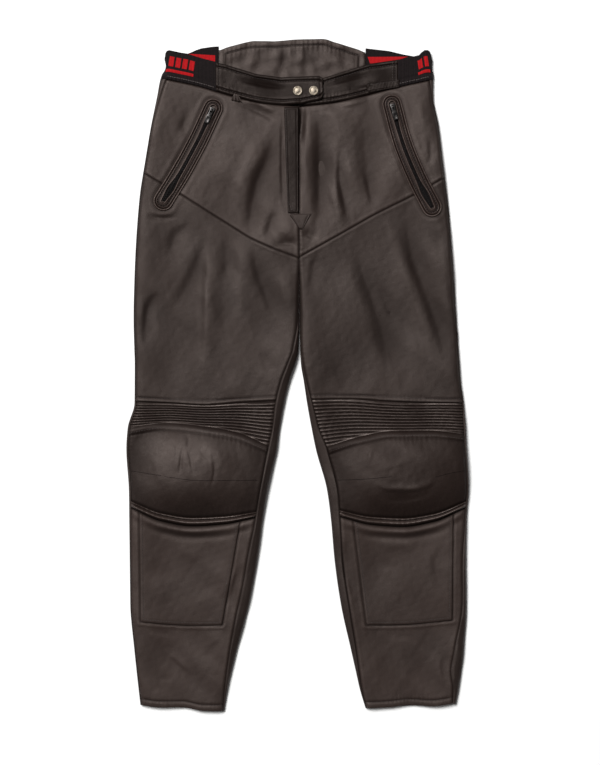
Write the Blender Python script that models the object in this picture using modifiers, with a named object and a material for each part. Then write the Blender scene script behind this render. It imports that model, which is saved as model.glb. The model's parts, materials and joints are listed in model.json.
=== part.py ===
"""Motorcycle trousers of black-brown leather, laid flat on their back, front up.

The waist points along +Y and the hems along -Y. The trousers lie on z = 0. Sizes in the tables
are millimetres; meshes are made in metres. Right and left are the wearer's: right is at -X.
"""

import math
from collections import namedtuple

import bmesh
import bpy
import numpy as np
from mathutils import Matrix, Vector

MM = 0.001

# Driving sizes
LEATHER = 2.4          # a leather wall with its lining
ACCORDION_WALL = 2.8   # ribbed stretch leather
KNEE_PADDING = 9.0     # what the knee cup's wall gains in its middle
YOKE_WALL = 3.0        # the high back panel, two leathers
WAISTBAND_WALL = 3.0   # folded leather
ELASTIC_WALL = 2.2
PATCH_WALL = 1.8       # a single leather laid on another
SEAM_GAP = 0.3         # between two pieces that are sewn edge to edge
SIDE_SEAM_EASE = 0.25  # how far a front panel's side edge keeps inside its seam line
LAY_GAP = 0.5          # under a piece that lies on another

# How the flattened garment rounds off at its side folds
SHOULDER_WIDTH = 16.0  # from the silhouette to the full height
SHOULDER_POWER = 2.2
UNDERSIDE_ROUND = 6.0  # from the silhouette to where it rests
HOLLOW_START = 8.0     # where the front starts to sink between the folds
HOLLOW_REACH = 60.0
CROTCH_Y = 178.0
PARTING = 26.0         # below the crotch, how far the legs take to round apart
CROTCH_WALL_DROP = 3.8 # at the crotch the back's edge stays this far under the front's face
BACK_WAIST_Y = 456.0
FLOOR_STEPS = (0.33, 0.67)  # points on the ground between the two folds
FOLD_STEPS = (1.0, 0.3, 0.0)  # points of the seam allowance, as shares of it

# Outline of each half, from the waist to the hem: the silhouette's outer and inner edges, and how
# far inside them the outer and inner seams lie on the front.
Outline = namedtuple("Outline", "y outer inner seam_out seam_in")
RIGHT_OUTLINE = [
    Outline(505.0, -205.4, 2.4, 12.0, 0.2),
    Outline(476.0, -205.8, 2.4, 12.0, 0.2),
    Outline(458.4, -213.1, 2.4, 10.0, 0.2),
    Outline(433.6, -217.8, 2.4, 5.5, 0.2),
    Outline(387.1, -227.1, 2.4, 1.6, 0.2),
    Outline(332.9, -236.4, 2.4, 1.5, 0.2),
    Outline(270.9, -245.7, 2.4, 1.5, 0.2),
    Outline(181.0, -251.9, 2.4, 1.5, 0.2),
    Outline(84.9, -254.5, 2.2, 1.5, 2.0),
    Outline(38.4, -253.4, 1.4, 1.5, 9.0),
    Outline(15.1, -252.7, -3.9, 1.5, 12.5),
    Outline(-8.1, -252.7, -11.6, 1.5, 13.8),
    Outline(-43.8, -253.0, -20.2, 2.5, 14.5),
    Outline(-82.5, -263.5, -27.1, 3.5, 12.0),
    Outline(-116.6, -265.8, -31.8, 3.5, 14.6),
    Outline(-178.6, -261.9, -45.7, 3.5, 12.2),
    Outline(-225.1, -261.2, -53.5, 3.0, 12.4),
    Outline(-287.1, -260.4, -62.0, 2.0, 16.5),
    Outline(-356.9, -259.6, -75.2, 1.5, 16.8),
    Outline(-426.6, -253.4, -93.8, 1.5, 11.3),
    Outline(-488.6, -246.8, -108.5, 1.5, 4.8),
    Outline(-522.0, -242.8, -114.0, 1.5, 2.2),
]
LEFT_OUTLINE = [
    Outline(505.0, 207.0, 2.8, 12.0, 0.2),
    Outline(476.0, 209.5, 2.8, 10.0, 0.2),
    Outline(456.9, 210.8, 2.8, 6.0, 0.2),
    Outline(433.6, 210.8, 2.8, 3.0, 0.2),
    Outline(387.1, 219.3, 2.8, 1.6, 0.2),
    Outline(332.9, 225.5, 2.8, 1.5, 0.2),
    Outline(270.9, 233.3, 2.8, 1.5, 0.2),
    Outline(181.0, 241.0, 2.8, 1.5, 0.2),
    Outline(84.9, 247.2, 3.0, 1.5, 1.6),
    Outline(38.4, 250.3, 4.0, 1.5, 1.8),
    Outline(15.1, 251.9, 5.4, 1.5, 3.8),
    Outline(-8.1, 253.4, 9.3, 1.5, 5.2),
    Outline(-43.8, 258.1, 14.7, 2.5, 9.0),
    Outline(-82.5, 261.2, 21.7, 3.5, 12.0),
    Outline(-116.6, 262.7, 28.7, 3.5, 18.5),
    Outline(-178.6, 265.8, 45.7, 3.5, 17.0),
    Outline(-225.1, 262.7, 51.9, 3.0, 14.8),
    Outline(-287.1, 261.9, 57.4, 6.0, 13.4),
    Outline(-356.9, 262.7, 67.4, 7.0, 13.2),
    Outline(-426.6, 258.1, 82.9, 15.0, 8.8),
    Outline(-455.0, 255.0, 89.3, 17.0, 6.2),
    Outline(-488.6, 250.3, 96.9, 9.0, 3.6),
    Outline(-522.0, 243.9, 107.0, 4.0, 1.6),
]

# Height of the lay down the garment: the side fold's widest point, the top of the fold, and how
# far the front sinks between the folds.
Lay = namedtuple("Lay", "y fold shoulder sag")
LAY = [
    Lay(505.0, 4.6, 10.0, 2.0),
    Lay(458.0, 5.0, 11.5, 3.6),
    Lay(271.0, 5.5, 13.0, 5.0),
    Lay(85.0, 5.5, 13.0, 5.0),
    Lay(-44.0, 5.5, 12.5, 4.0),
    Lay(-225.0, 5.5, 12.5, 3.6),
    Lay(-290.0, 5.0, 12.0, 4.2),
    Lay(-430.0, 4.8, 11.0, 3.6),
    Lay(-522.0, 4.6, 10.0, 2.8),
]

# Where each seam across the front lies, at five even steps from the outer seam to the inner one.
SEAM_STEPS = [0.0, 0.25, 0.5, 0.75, 1.0]
RIGHT_SEAMS = {
    "waist": [458.4, 448.3, 433.6, 421.2, 416.6],
    "hip": [312.7, 280.2, 243.0, 205.8, 181.0],
    "thigh": [-42.2, -44.6, -47.7, -43.8, -40.7],
    "knee_top": [-82.5, -74.8, -79.4, -88.7, -110.4],
    "knee_bottom": [-195.7, -214.3, -221.3, -218.9, -212.0],
    "shin_top": [-206.5, -227.5, -235.2, -232.1, -222.0],
    "hem": [-512.7, -515.8, -515.8, -521.2, -522.0],
}
LEFT_SEAMS = {
    "waist": [456.9, 446.8, 433.6, 422.0, 416.6],
    "hip": [305.0, 275.5, 247.6, 215.1, 182.5],
    "thigh": [-44.6, -43.8, -41.5, -38.4, -39.1],
    "knee_top": [-91.8, -86.4, -87.2, -96.5, -112.0],
    "knee_bottom": [-195.7, -215.1, -222.0, -219.7, -209.6],
    "shin_top": [-206.5, -228.2, -236.0, -232.9, -220.5],
    "hem": [-510.3, -514.2, -512.7, -515.8, -517.3],
}

# The knee cup's dome
Dome = namedtuple("Dome", "x y half_width half_length height")
RIGHT_DOME = Dome(-152.0, -150.0, 100.0, 68.0, 21.0)
LEFT_DOME = Dome(162.0, -152.0, 100.0, 68.0, 21.0)
DOME_SQUARENESS = 2.6
DOME_FOOT = 1.15

# Pocket zips, top end first
Place = namedtuple("Place", "x y")
RIGHT_ZIP = [Place(-131.0, 413.5), Place(-154.2, 363.7), Place(-180.0, 315.8), Place(-208.0, 269.5)]
LEFT_ZIP = [Place(146.5, 419.7), Place(165.1, 353.0), Place(186.8, 301.9), Place(208.5, 260.0)]
WELT_HALF_WIDTH = 11.5
WELT_SLOT_HALF_WIDTH = 4.2
WELT_END = 12.0        # how far the frame runs past the zip's ends
ZIP_HALF_WIDTH = 3.5
ZIP_THICKNESS = 1.3

# Shin patches: corners in the order top outer, top inner, bottom inner, bottom outer
RIGHT_PATCH = [Place(-244.9, -228.0), Place(-89.1, -228.0), Place(-117.0, -387.9), Place(-242.6, -382.5)]
LEFT_PATCH = [Place(241.0, -228.0), Place(86.8, -228.0), Place(107.0, -387.9), Place(239.5, -380.1)]
PATCH_BOTTOM_DIP = 3.0
PATCH_COLUMNS = 8
PATCH_ROWS = 6
SHIN_SEAM_Y = -228.0   # about where the seam at the shin panel's top lies

# The waistband's top edge, from end to end, and the part that laps over the other half
Edge = namedtuple("Edge", "x y")
RIGHT_BAND_TOP = [Edge(-126.5, 484.4), Edge(-112.4, 481.7), Edge(-64.3, 466.9), Edge(-25.6, 461.5), Edge(39.5, 463.0)]
LEFT_BAND_TOP = [Edge(3.2, 456.0), Edge(38.0, 460.0), Edge(78.3, 472.4), Edge(112.4, 483.2), Edge(155.8, 488.5)]
LAP_BOTTOM = [Edge(-30.0, 418.5), Edge(2.4, 419.5), Edge(39.5, 426.5)]
LAP_START = -28.0
LAP_FULL = 0.0
LAP_END_ROUND = 8.0
BAND_END_RIGHT = -126.5
BAND_END_LEFT = 155.8

# The elastics at the sides: the front part's top edge and the back part's, ends first
RIGHT_ELASTIC_FRONT = [Edge(-126.9, 485.5), Edge(-171.3, 498.0), Edge(-205.0, 503.0)]
RIGHT_ELASTIC_BACK = [Edge(-122.6, 510.5), Edge(-171.0, 501.5), Edge(-205.0, 503.0)]
LEFT_ELASTIC_FRONT = [Edge(156.2, 487.5), Edge(180.0, 494.0), Edge(207.0, 503.5)]
LEFT_ELASTIC_BACK = [Edge(105.9, 507.5), Edge(141.8, 503.4), Edge(207.0, 503.5)]

# The high back panel's top edge
YOKE_TOP = [
    Edge(-122.2, 503.4),
    Edge(-110.0, 509.0),
    Edge(-71.0, 518.9),
    Edge(-33.3, 518.2),
    Edge(-2.3, 521.2),
    Edge(42.6, 522.0),
    Edge(58.0, 516.6),
    Edge(95.3, 505.4),
    Edge(105.5, 500.0),
]

# Fly, tabs and snaps
FLY_LEFT = -20.9
FLY_EDGE = 1.6
FLY_TOP = 415.0
FLY_BOTTOM = 250.5
FLY_TAB = [Place(-14.0, 249.8), Place(21.5, 249.8), Place(7.0, 225.0), Place(3.6, 225.0)]
LOOP_STUB = [Place(-104.0, 438.0), Place(-88.0, 434.0), Place(-87.0, 421.5), Place(-100.5, 424.5)]
SIDE_TAB = [Place(104.6, 451.0), Place(158.5, 458.5), Place(158.5, 446.0), Place(110.0, 437.5)]
SNAP_PLACES = {"right": Place(0.3, 439.8), "left": Place(25.0, 439.8)}
SNAP_RADIUS = 7.5
SNAP_HEIGHT = 2.8

# Zip slider and pull tab
SLIDER_WIDTH = 9.0
SLIDER_LENGTH = 10.5
SLIDER_HEIGHT = 2.4
SLIDER_WAIST = 0.72    # its lower end's width, as a share
SLIDER_BEVEL = 0.5
SLIDER_PLACE = 5.0     # from the zip's top end
SLIDER_AIM = 20.0      # it points from the zip at this distance
BRIDGE_WIDTH = 2.4
BRIDGE_HALF_LENGTH = 3.6
BRIDGE_CLEAR = 2.6     # the height of the bridge's eye
BRIDGE_ROOF = 0.9
BRIDGE_POST = 1.2      # a post's length along the slider
POST_SINK = 0.5        # how far a post's foot lies in the slider's body
POST_OVERLAP = 0.3     # how far its top lies in the roof
PULL_WIDTH = 8.0
PULL_LENGTH = 21.0     # from the hinge line to the free end
PULL_THICKNESS = 1.4
PULL_EYE_WIDTH = 3.6
PULL_EYE_LENGTH = 5.4
PULL_BAR = 0.7         # half the width of the bar under the bridge
PULL_REST_DEGREES = 5.0  # the free end lies this much lower than the hinge line

# Steps of the sections; the steps crowd at the folds
ACROSS = [0.0, 0.02, 0.05, 0.09, 0.14, 0.2, 0.27, 0.38, 0.5, 0.62, 0.73, 0.8, 0.86, 0.91, 0.95, 0.98, 1.0]
ROWS = {"hip_front": 6, "thigh": 6, "accordion": 2, "knee": 7, "knee_roll": 2, "shin": 6}
SEAT_THIGH_ROWS = 2    # the seat reaches down beside this many of the thigh's rows
KNEE_ROLL_HEIGHT = 4.0

Half = namedtuple("Half", "name sign outline seams dome zip patch")
HALVES = [
    Half("right", -1, RIGHT_OUTLINE, RIGHT_SEAMS, RIGHT_DOME, RIGHT_ZIP, RIGHT_PATCH),
    Half("left", 1, LEFT_OUTLINE, LEFT_SEAMS, LEFT_DOME, LEFT_ZIP, LEFT_PATCH),
]
CENTRE_X = 2.6


def start_empty():
    for thing in list(bpy.data.objects):
        bpy.data.objects.remove(thing, do_unlink=True)
    collection = bpy.data.collections.new("motorcycle_trousers")
    bpy.context.scene.collection.children.link(collection)
    return collection


COLLECTION = start_empty()


def material(name, colour, roughness, metallic=0.0):
    made = bpy.data.materials.new(name)
    made.use_nodes = True
    shader = made.node_tree.nodes["Principled BSDF"]
    shader.inputs["Base Color"].default_value = (*colour, 1.0)
    shader.inputs["Roughness"].default_value = roughness
    shader.inputs["Metallic"].default_value = metallic
    return made


LEATHER_FINISH = material("leather", (0.055, 0.042, 0.038), 0.5)
KNEE_FINISH = material("knee_leather", (0.05, 0.038, 0.035), 0.42)
ELASTIC_FINISH = material("elastic", (0.02, 0.016, 0.018), 0.9)
ZIP_FINISH = material("zip", (0.03, 0.028, 0.03), 0.4, 0.4)
PULL_FINISH = material("pull", (0.05, 0.048, 0.048), 0.35, 0.9)
SNAP_FINISH = material("snap", (0.42, 0.35, 0.26), 0.35, 1.0)


def smooth(xs, values, x):
    """A smooth curve through the values that never swings past them."""
    xs, values = np.asarray(xs, float), np.asarray(values, float)
    steps = np.diff(values) / np.diff(xs)
    slopes = np.zeros(len(xs))
    for i in range(1, len(xs) - 1):
        if steps[i - 1] * steps[i] > 0.0:
            slopes[i] = 2.0 * steps[i - 1] * steps[i] / (steps[i - 1] + steps[i])
    slopes[0], slopes[-1] = steps[0], steps[-1]
    x = min(max(x, xs[0]), xs[-1])
    i = min(max(int(np.searchsorted(xs, x)) - 1, 0), len(xs) - 2)
    span = xs[i + 1] - xs[i]
    t = (x - xs[i]) / span
    start = (2 * t**3 - 3 * t**2 + 1) * values[i] + (t**3 - 2 * t**2 + t) * span * slopes[i]
    end = (3 * t**2 - 2 * t**3) * values[i + 1] + (t**3 - t**2) * span * slopes[i + 1]
    return start + end


def along(table, name, y):
    """A column of a table at height y."""
    rows = table[::-1]
    return smooth([row.y for row in rows], [getattr(row, name) for row in rows], y)


def edge_at(edge, x):
    """The height of an edge, a list of points, at x."""
    points = sorted((point.x, point.y) for point in edge)
    return float(np.interp(x, [p[0] for p in points], [p[1] for p in points]))


def ease(t):
    t = np.clip(t, 0.0, 1.0)
    return t * t * (3.0 - 2.0 * t)


def shoulder(distance):
    inward = np.clip(distance / SHOULDER_WIDTH, 0.0, 1.0)
    return (1.0 - (1.0 - inward) ** SHOULDER_POWER) ** (1.0 / SHOULDER_POWER)


def parted(y):
    return ease((CROTCH_Y - y) / PARTING)


def dome_height(dome, x, y):
    reach = abs((x - dome.x) / dome.half_width) ** DOME_SQUARENESS
    reach += abs((y - dome.y) / dome.half_length) ** DOME_SQUARENESS
    return dome.height * max(0.0, 1.0 - reach) ** DOME_FOOT


def front_height(half, x, y):
    """The height of the front's outer face over (x, y)."""
    from_outer = half.sign * (along(half.outline, "outer", y) - x)
    from_inner = half.sign * (x - along(half.outline, "inner", y))
    apart = parted(y)
    fold = along(LAY, "fold", y)
    rounding = shoulder(from_outer) * (1.0 - apart * (1.0 - shoulder(from_inner)))
    hollow = ease((from_outer - HOLLOW_START) / HOLLOW_REACH)
    hollow *= 1.0 - apart * (1.0 - ease((from_inner - HOLLOW_START) / HOLLOW_REACH))
    height = fold + (along(LAY, "shoulder", y) - fold) * rounding - along(LAY, "sag", y) * hollow
    return height + dome_height(half.dome, x, y)


def half_at(x):
    return HALVES[0] if x < CENTRE_X else HALVES[1]


def front_normal(half, x, y):
    """The outward direction of the front's face, in the section across the garment."""
    step = 0.1
    rise = front_height(half, x + step, y) - front_height(half, x - step, y)
    slope = rise / (2.0 * step)
    length = math.hypot(slope, 1.0)
    return np.array([-slope / length, 0.0, 1.0 / length])


def seam_level(half, seam, across):
    return smooth(SEAM_STEPS, half.seams[seam], across)


def seam_x(half, y, across, ease_outer=0.0, ease_inner=0.0):
    """x at height y, a part of the way from the outer seam to the inner one."""
    outer = along(half.outline, "outer", y) - half.sign * (along(half.outline, "seam_out", y) + ease_outer)
    inner = along(half.outline, "inner", y) + half.sign * (along(half.outline, "seam_in", y) + ease_inner)
    return outer + across * (inner - outer)


def add_piece(name, outer, inner, finish, ring=False):
    """A closed wall between two grids of points that match, in millimetres; a ring joins its ends."""
    rows, columns = outer.shape[:2]
    mesh = bmesh.new()
    skins = [
        [[mesh.verts.new(Vector(point) * MM) for point in row] for row in grid]
        for grid in (outer, inner)
    ]
    for grid in skins:
        for r in range(rows - 1):
            for c in range(columns if ring else columns - 1):
                d = (c + 1) % columns
                mesh.faces.new([grid[r][c], grid[r][d], grid[r + 1][d], grid[r + 1][c]])
    if ring:
        borders = [[(r, c) for c in range(columns)] for r in (0, rows - 1)]
    else:
        border = [(0, c) for c in range(columns)]
        border += [(r, columns - 1) for r in range(1, rows)]
        border += [(rows - 1, c) for c in range(columns - 2, -1, -1)]
        border += [(r, 0) for r in range(rows - 2, 0, -1)]
        borders = [border]
    for border in borders:
        for (r, c), (s, d) in zip(border, border[1:] + border[:1]):
            mesh.faces.new([skins[0][r][c], skins[0][s][d], skins[1][s][d], skins[1][r][c]])
    bmesh.ops.recalc_face_normals(mesh, faces=mesh.faces)
    data = bpy.data.meshes.new(name)
    mesh.to_mesh(data)
    mesh.free()
    return place(name, data, finish, smooth=True)


def place(name, data, finish, smooth=False):
    piece = bpy.data.objects.new(name, data)
    COLLECTION.objects.link(piece)
    data.materials.append(finish)
    if smooth:
        data.shade_smooth()
        data.set_sharp_from_angle(angle=math.radians(40))
    return piece


def front_panel(half, name, top_seam, bottom_seam, wall, finish, padding=0.0, roll=0.0):
    """A front panel between two seams across the leg."""
    count = ROWS[name]
    outer = np.zeros((count + 1, len(ACROSS), 3))
    inner = np.zeros_like(outer)
    for r in range(count + 1):
        down = r / count
        for c, across in enumerate(ACROSS):
            top = seam_level(half, top_seam, across) - SEAM_GAP / 2
            bottom = seam_level(half, bottom_seam, across) + SEAM_GAP / 2
            y = top + down * (bottom - top)
            x = seam_x(half, y, across, SIDE_SEAM_EASE, SIDE_SEAM_EASE if y < CROTCH_Y else 0.0)
            bulge = math.sin(math.pi * down)
            point = np.array([x, y, front_height(half, x, y) + roll * bulge])
            depth = wall + padding * bulge * math.sin(math.pi * across)
            outer[r, c] = point
            inner[r, c] = point - depth * front_normal(half, x, y)
    return add_piece(f"{name}_{half.name}", outer, inner, finish)


def edge_levels(half, panels, across):
    """The heights of the panels' rows along one of the leg's side seams."""
    levels = []
    for name, top_seam, bottom_seam, first_row in panels:
        top = seam_level(half, top_seam, across)
        bottom = seam_level(half, bottom_seam, across)
        rows = range(first_row, ROWS[name])
        levels += [top + (bottom - top) * r / ROWS[name] for r in rows]
        last = bottom
    return levels + [last]


def outer_fold(half, y, insets):
    """Points from the front, in by the insets, round the outer fold to where it rests."""
    edge = along(half.outline, "outer", y)
    fold = along(LAY, "fold", y)
    points = []
    for inset in insets:
        x = edge - half.sign * inset
        points.append([x, y, front_height(half, x, y)])
    for turn in (30, 60, 90):
        angle = math.radians(turn)
        x = edge - half.sign * UNDERSIDE_ROUND * (1.0 - math.cos(angle))
        points.append([x, y, fold * (1.0 - math.sin(angle))])
    return points


def inner_fold(half, y, insets):
    """Points from where the inner fold leaves the ground, round it and onto the front."""
    edge = along(half.outline, "inner", y)
    fold = along(LAY, "fold", y)
    points = []
    for turn in (90, 55, 20):
        angle = math.radians(turn)
        x = edge + half.sign * UNDERSIDE_ROUND * (1.0 - math.cos(angle))
        points.append([x, y, fold * (1.0 - math.sin(angle))])
    if parted(y) < 0.5:
        lowest = points[-1][2]
        top = front_height(half, edge + half.sign, y) - CROTCH_WALL_DROP
        for step in range(1, len(insets) + 1):
            points.append([edge, y, lowest + (top - lowest) * step / len(insets)])
        return points, np.array([-half.sign, 0.0, 0.0])
    for inset in insets:
        x = edge + half.sign * inset
        points.append([x, y, front_height(half, x, y)])
    return points, front_normal(half, points[-1][0], y)


def section_inside(points, wall, first_normal, last_normal):
    """The inner face of one section, square to its outer face."""
    points = np.array(points)
    along_it = np.gradient(points[:, [0, 2]], axis=0)
    along_it /= np.linalg.norm(along_it, axis=1)[:, None]
    normals = np.zeros_like(points)
    normals[:, 0] = along_it[:, 1]
    normals[:, 2] = -along_it[:, 0]
    if np.dot(normals[0], first_normal) < 0:
        normals = -normals
    normals[0] = first_normal
    normals[-1] = last_normal
    return points - wall * normals


def back_leg(half):
    """The back of a leg: it turns up round both folds to meet the front's side seams."""
    below = [
        ("accordion", "thigh", "knee_top", 0),
        ("knee", "knee_top", "knee_bottom", 0),
        ("knee_roll", "knee_bottom", "shin_top", 0),
        ("shin", "shin_top", "hem", 0),
    ]
    inner_levels = edge_levels(half, [("thigh", "hip", "thigh", 0)] + below, 1.0)
    thigh_rows = ROWS["thigh"]
    split_y = seat_bottom(half)
    thigh_bottom = seam_level(half, "thigh", 0.0)
    outer_levels = [split_y + (thigh_bottom - split_y) * r / thigh_rows for r in range(thigh_rows)]
    outer_levels += edge_levels(half, below, 0.0)
    outer_levels[0] -= SEAM_GAP / 2
    inner_levels[0] = CROTCH_Y - SEAM_GAP
    outer, inner = [], []
    for y_out, y_in in zip(outer_levels, inner_levels):
        seam_out = along(half.outline, "seam_out", y_out) - SEAM_GAP / 2
        seam_in = along(half.outline, "seam_in", y_in) - SEAM_GAP / 2
        start = outer_fold(half, y_out, [seam_out * step for step in FOLD_STEPS])
        end, last = inner_fold(half, y_in, [0.0, seam_in * 0.12, seam_in * 0.5, seam_in])
        floor = [
            [start[-1][0] + t * (end[0][0] - start[-1][0]), y_out + t * (y_in - y_out), 0.0]
            for t in FLOOR_STEPS
        ]
        points = start + floor + end
        outer.append(points)
        first = front_normal(half, points[0][0], y_out)
        inner.append(section_inside(points, LEATHER, first, last))
    return add_piece(f"back_leg_{half.name}", np.array(outer), np.array(inner), LEATHER_FINISH)


def seat_bottom(half):
    top = seam_level(half, "hip", 0.0)
    bottom = seam_level(half, "thigh", 0.0)
    return top + (bottom - top) * SEAT_THIGH_ROWS / ROWS["thigh"]


def back_waist_y(half, x):
    """The height of the seam between the seat and what is above it."""
    side = seam_level(half, "waist", 0.0)
    edge = along(half.outline, "outer", side) - half.sign * UNDERSIDE_ROUND
    return side + (BACK_WAIST_Y - side) * (edge - x) / (edge - CENTRE_X)


def seat(half):
    """The upper back: from the back waist to the crotch, round the outer fold to the side seam."""
    sides = edge_levels(half, [("hip_front", "waist", "hip", 0), ("thigh", "hip", "thigh", 0)], 0.0)
    sides = sides[: ROWS["hip_front"] + SEAT_THIGH_ROWS + 1]
    sides[0] -= SEAM_GAP / 2
    sides[-1] += SEAM_GAP / 2
    down = np.linspace(0.0, 1.0, len(sides))
    middle = BACK_WAIST_Y - SEAM_GAP / 2 + down * (CROTCH_Y - BACK_WAIST_Y)
    centre = CENTRE_X + half.sign * SEAM_GAP / 2
    outer, inner = [], []
    for y_out, y_in in zip(sides, middle):
        seam_out = along(half.outline, "seam_out", y_out) - SEAM_GAP / 2
        start = outer_fold(half, y_out, [seam_out * step for step in FOLD_STEPS])
        edge = start[-1][0]
        floor = [[edge + t * (centre - edge), y_out + t * (y_in - y_out), 0.0] for t in (*FLOOR_STEPS, 1.0)]
        points = start + floor
        outer.append(points)
        first = front_normal(half, points[0][0], y_out)
        inner.append(section_inside(points, LEATHER, first, np.array([0.0, 0.0, -1.0])))
    return add_piece(f"seat_{half.name}", np.array(outer), np.array(inner), LEATHER_FINISH)


def laid_grid(name, grid, lift, wall, finish, ring=False):
    """A piece that lies on the front: its grid of places, moved out by lift, and its own wall."""
    outer = np.zeros((len(grid), len(grid[0]), 3))
    inner = np.zeros_like(outer)
    for r, row in enumerate(grid):
        for c, spot in enumerate(row):
            x, y = spot[0], spot[1]
            rise = lift if len(spot) < 3 else lift + spot[2]
            half = half_at(x)
            base = np.array([x, y, front_height(half, x, y)])
            normal = front_normal(half, x, y)
            inner[r, c] = base + rise * normal
            outer[r, c] = base + (rise + wall) * normal
    return add_piece(name, outer, inner, finish, ring)


def corner_grid(corners, across, down, dip=0.0):
    """A grid between four corners: top outer, top inner, bottom inner, bottom outer."""
    a, b, c, d = (np.array(corner) for corner in corners)
    grid = []
    for r in range(down + 1):
        v = r / down
        row = []
        for k in range(across + 1):
            u = k / across
            spot = (1 - v) * ((1 - u) * a + u * b) + v * ((1 - u) * d + u * c)
            row.append((spot[0], spot[1] - dip * v * math.sin(math.pi * u)))
        grid.append(row)
    return grid


def shin_patch(half):
    """The second leather on the shin, its top edge in the seam under the knee roll."""
    grid = corner_grid(half.patch, PATCH_COLUMNS, PATCH_ROWS, PATCH_BOTTOM_DIP)
    for r, row in enumerate(grid):
        for c, (x, y) in enumerate(row):
            row[c] = (x, y + (1 - r / PATCH_ROWS) * (shin_top_y(half, x) - SEAM_GAP - half.patch[0].y))
    return laid_grid(f"shin_patch_{half.name}", grid, LAY_GAP, PATCH_WALL, LEATHER_FINISH)


def shin_top_y(half, x):
    """The height of the seam at the shin panel's top, at x."""
    outer = seam_x(half, SHIN_SEAM_Y, 0.0)
    inner = seam_x(half, SHIN_SEAM_Y, 1.0)
    return seam_level(half, "shin_top", (x - outer) / (inner - outer))


def path_at(path, t):
    """A point of a smooth curve through the path's places, and its direction, t from 0 to 1."""
    points = np.array([[p.x, p.y] for p in path])
    spans = np.linalg.norm(np.diff(points, axis=0), axis=1)
    stops = np.concatenate([[0.0], np.cumsum(spans)])
    tangents = np.gradient(points, stops, axis=0)
    s = np.clip(t, 0.0, 1.0) * stops[-1]
    i = min(int(np.searchsorted(stops, s, side="right")) - 1, len(points) - 2)
    h = stops[i + 1] - stops[i]
    q = (s - stops[i]) / h
    place_ = (2 * q**3 - 3 * q**2 + 1) * points[i] + (q**3 - 2 * q**2 + q) * h * tangents[i]
    place_ += (-2 * q**3 + 3 * q**2) * points[i + 1] + (q**3 - q**2) * h * tangents[i + 1]
    direction = (points[i + 1] - points[i]) * (1 - abs(2 * q - 1)) + tangents[i if q < 0.5 else i + 1] * abs(2 * q - 1) * h
    return place_, direction / np.linalg.norm(direction)


def path_length(path):
    points = np.array([[p.x, p.y] for p in path])
    return float(np.linalg.norm(np.diff(points, axis=0), axis=1).sum())


def beside(path, t, aside):
    """A place beside the path at t, t running past its ends in a straight line."""
    spot, direction = path_at(path, t)
    beyond = (t - np.clip(t, 0.0, 1.0)) * path_length(path)
    square = np.array([-direction[1], direction[0]])
    return spot + beyond * direction + aside * square


def pocket_welt(half):
    """The leather frame round the pocket's zip: a flat ring with round ends."""
    length = path_length(half.zip)
    ring = []
    stretch = np.linspace(0.0, 1.0, 8)
    turns = np.radians([-67.5, -22.5, 22.5, 67.5])
    for t in stretch:
        ring.append((t, 1.0, 0.0))
    for turn in turns:
        ring.append((1.0, -math.sin(turn), math.cos(turn)))
    for t in stretch[::-1]:
        ring.append((t, -1.0, 0.0))
    for turn in turns:
        ring.append((0.0, math.sin(turn), -math.cos(turn)))
    grid = []
    for width, end in ((WELT_HALF_WIDTH, WELT_END), (WELT_SLOT_HALF_WIDTH, WELT_SLOT_HALF_WIDTH)):
        grid.append([
            tuple(beside(half.zip, t + out * end / length, aside * width)) for t, aside, out in ring
        ])
    middle = [tuple((np.array(a) + np.array(b)) / 2) for a, b in zip(*grid)]
    grid.insert(1, middle)
    return laid_grid(f"pocket_welt_{half.name}", grid, LAY_GAP, PATCH_WALL, LEATHER_FINISH, ring=True)


def pocket_zip(half):
    """The zip in the welt's slot: tape and closed teeth as one flat strip."""
    grid = [
        [tuple(beside(half.zip, t, aside)) for aside in (-ZIP_HALF_WIDTH, 0.0, ZIP_HALF_WIDTH)]
        for t in np.linspace(0.0, 1.0, 9)
    ]
    return laid_grid(f"pocket_zip_{half.name}", grid, LAY_GAP, ZIP_THICKNESS, ZIP_FINISH)


def zip_frame(half):
    """The slider's place: x across the zip, y towards its top end, z out of the cloth."""
    length = path_length(half.zip)
    spot = beside(half.zip, SLIDER_PLACE / length, 0.0)
    below = beside(half.zip, SLIDER_AIM / length, 0.0)
    z = front_height(half, *spot) + LAY_GAP + ZIP_THICKNESS + LAY_GAP
    up = np.array([*(spot - below), 0.0])
    up /= np.linalg.norm(up)
    side = np.cross(up, [0.0, 0.0, 1.0])
    frame = Matrix.Identity(4)
    frame.col[0] = (*side, 0.0)
    frame.col[1] = (*up, 0.0)
    frame.translation = Vector((spot[0], spot[1], z)) * MM
    return frame


def add_box(mesh, centre, size):
    """A box in an open bmesh, centre and size in millimetres."""
    made = bmesh.ops.create_cube(mesh, size=1.0)
    for vert in made["verts"]:
        vert.co = Vector([(centre[i] + vert.co[i] * size[i]) * MM for i in range(3)])
    return made["verts"]


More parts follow.
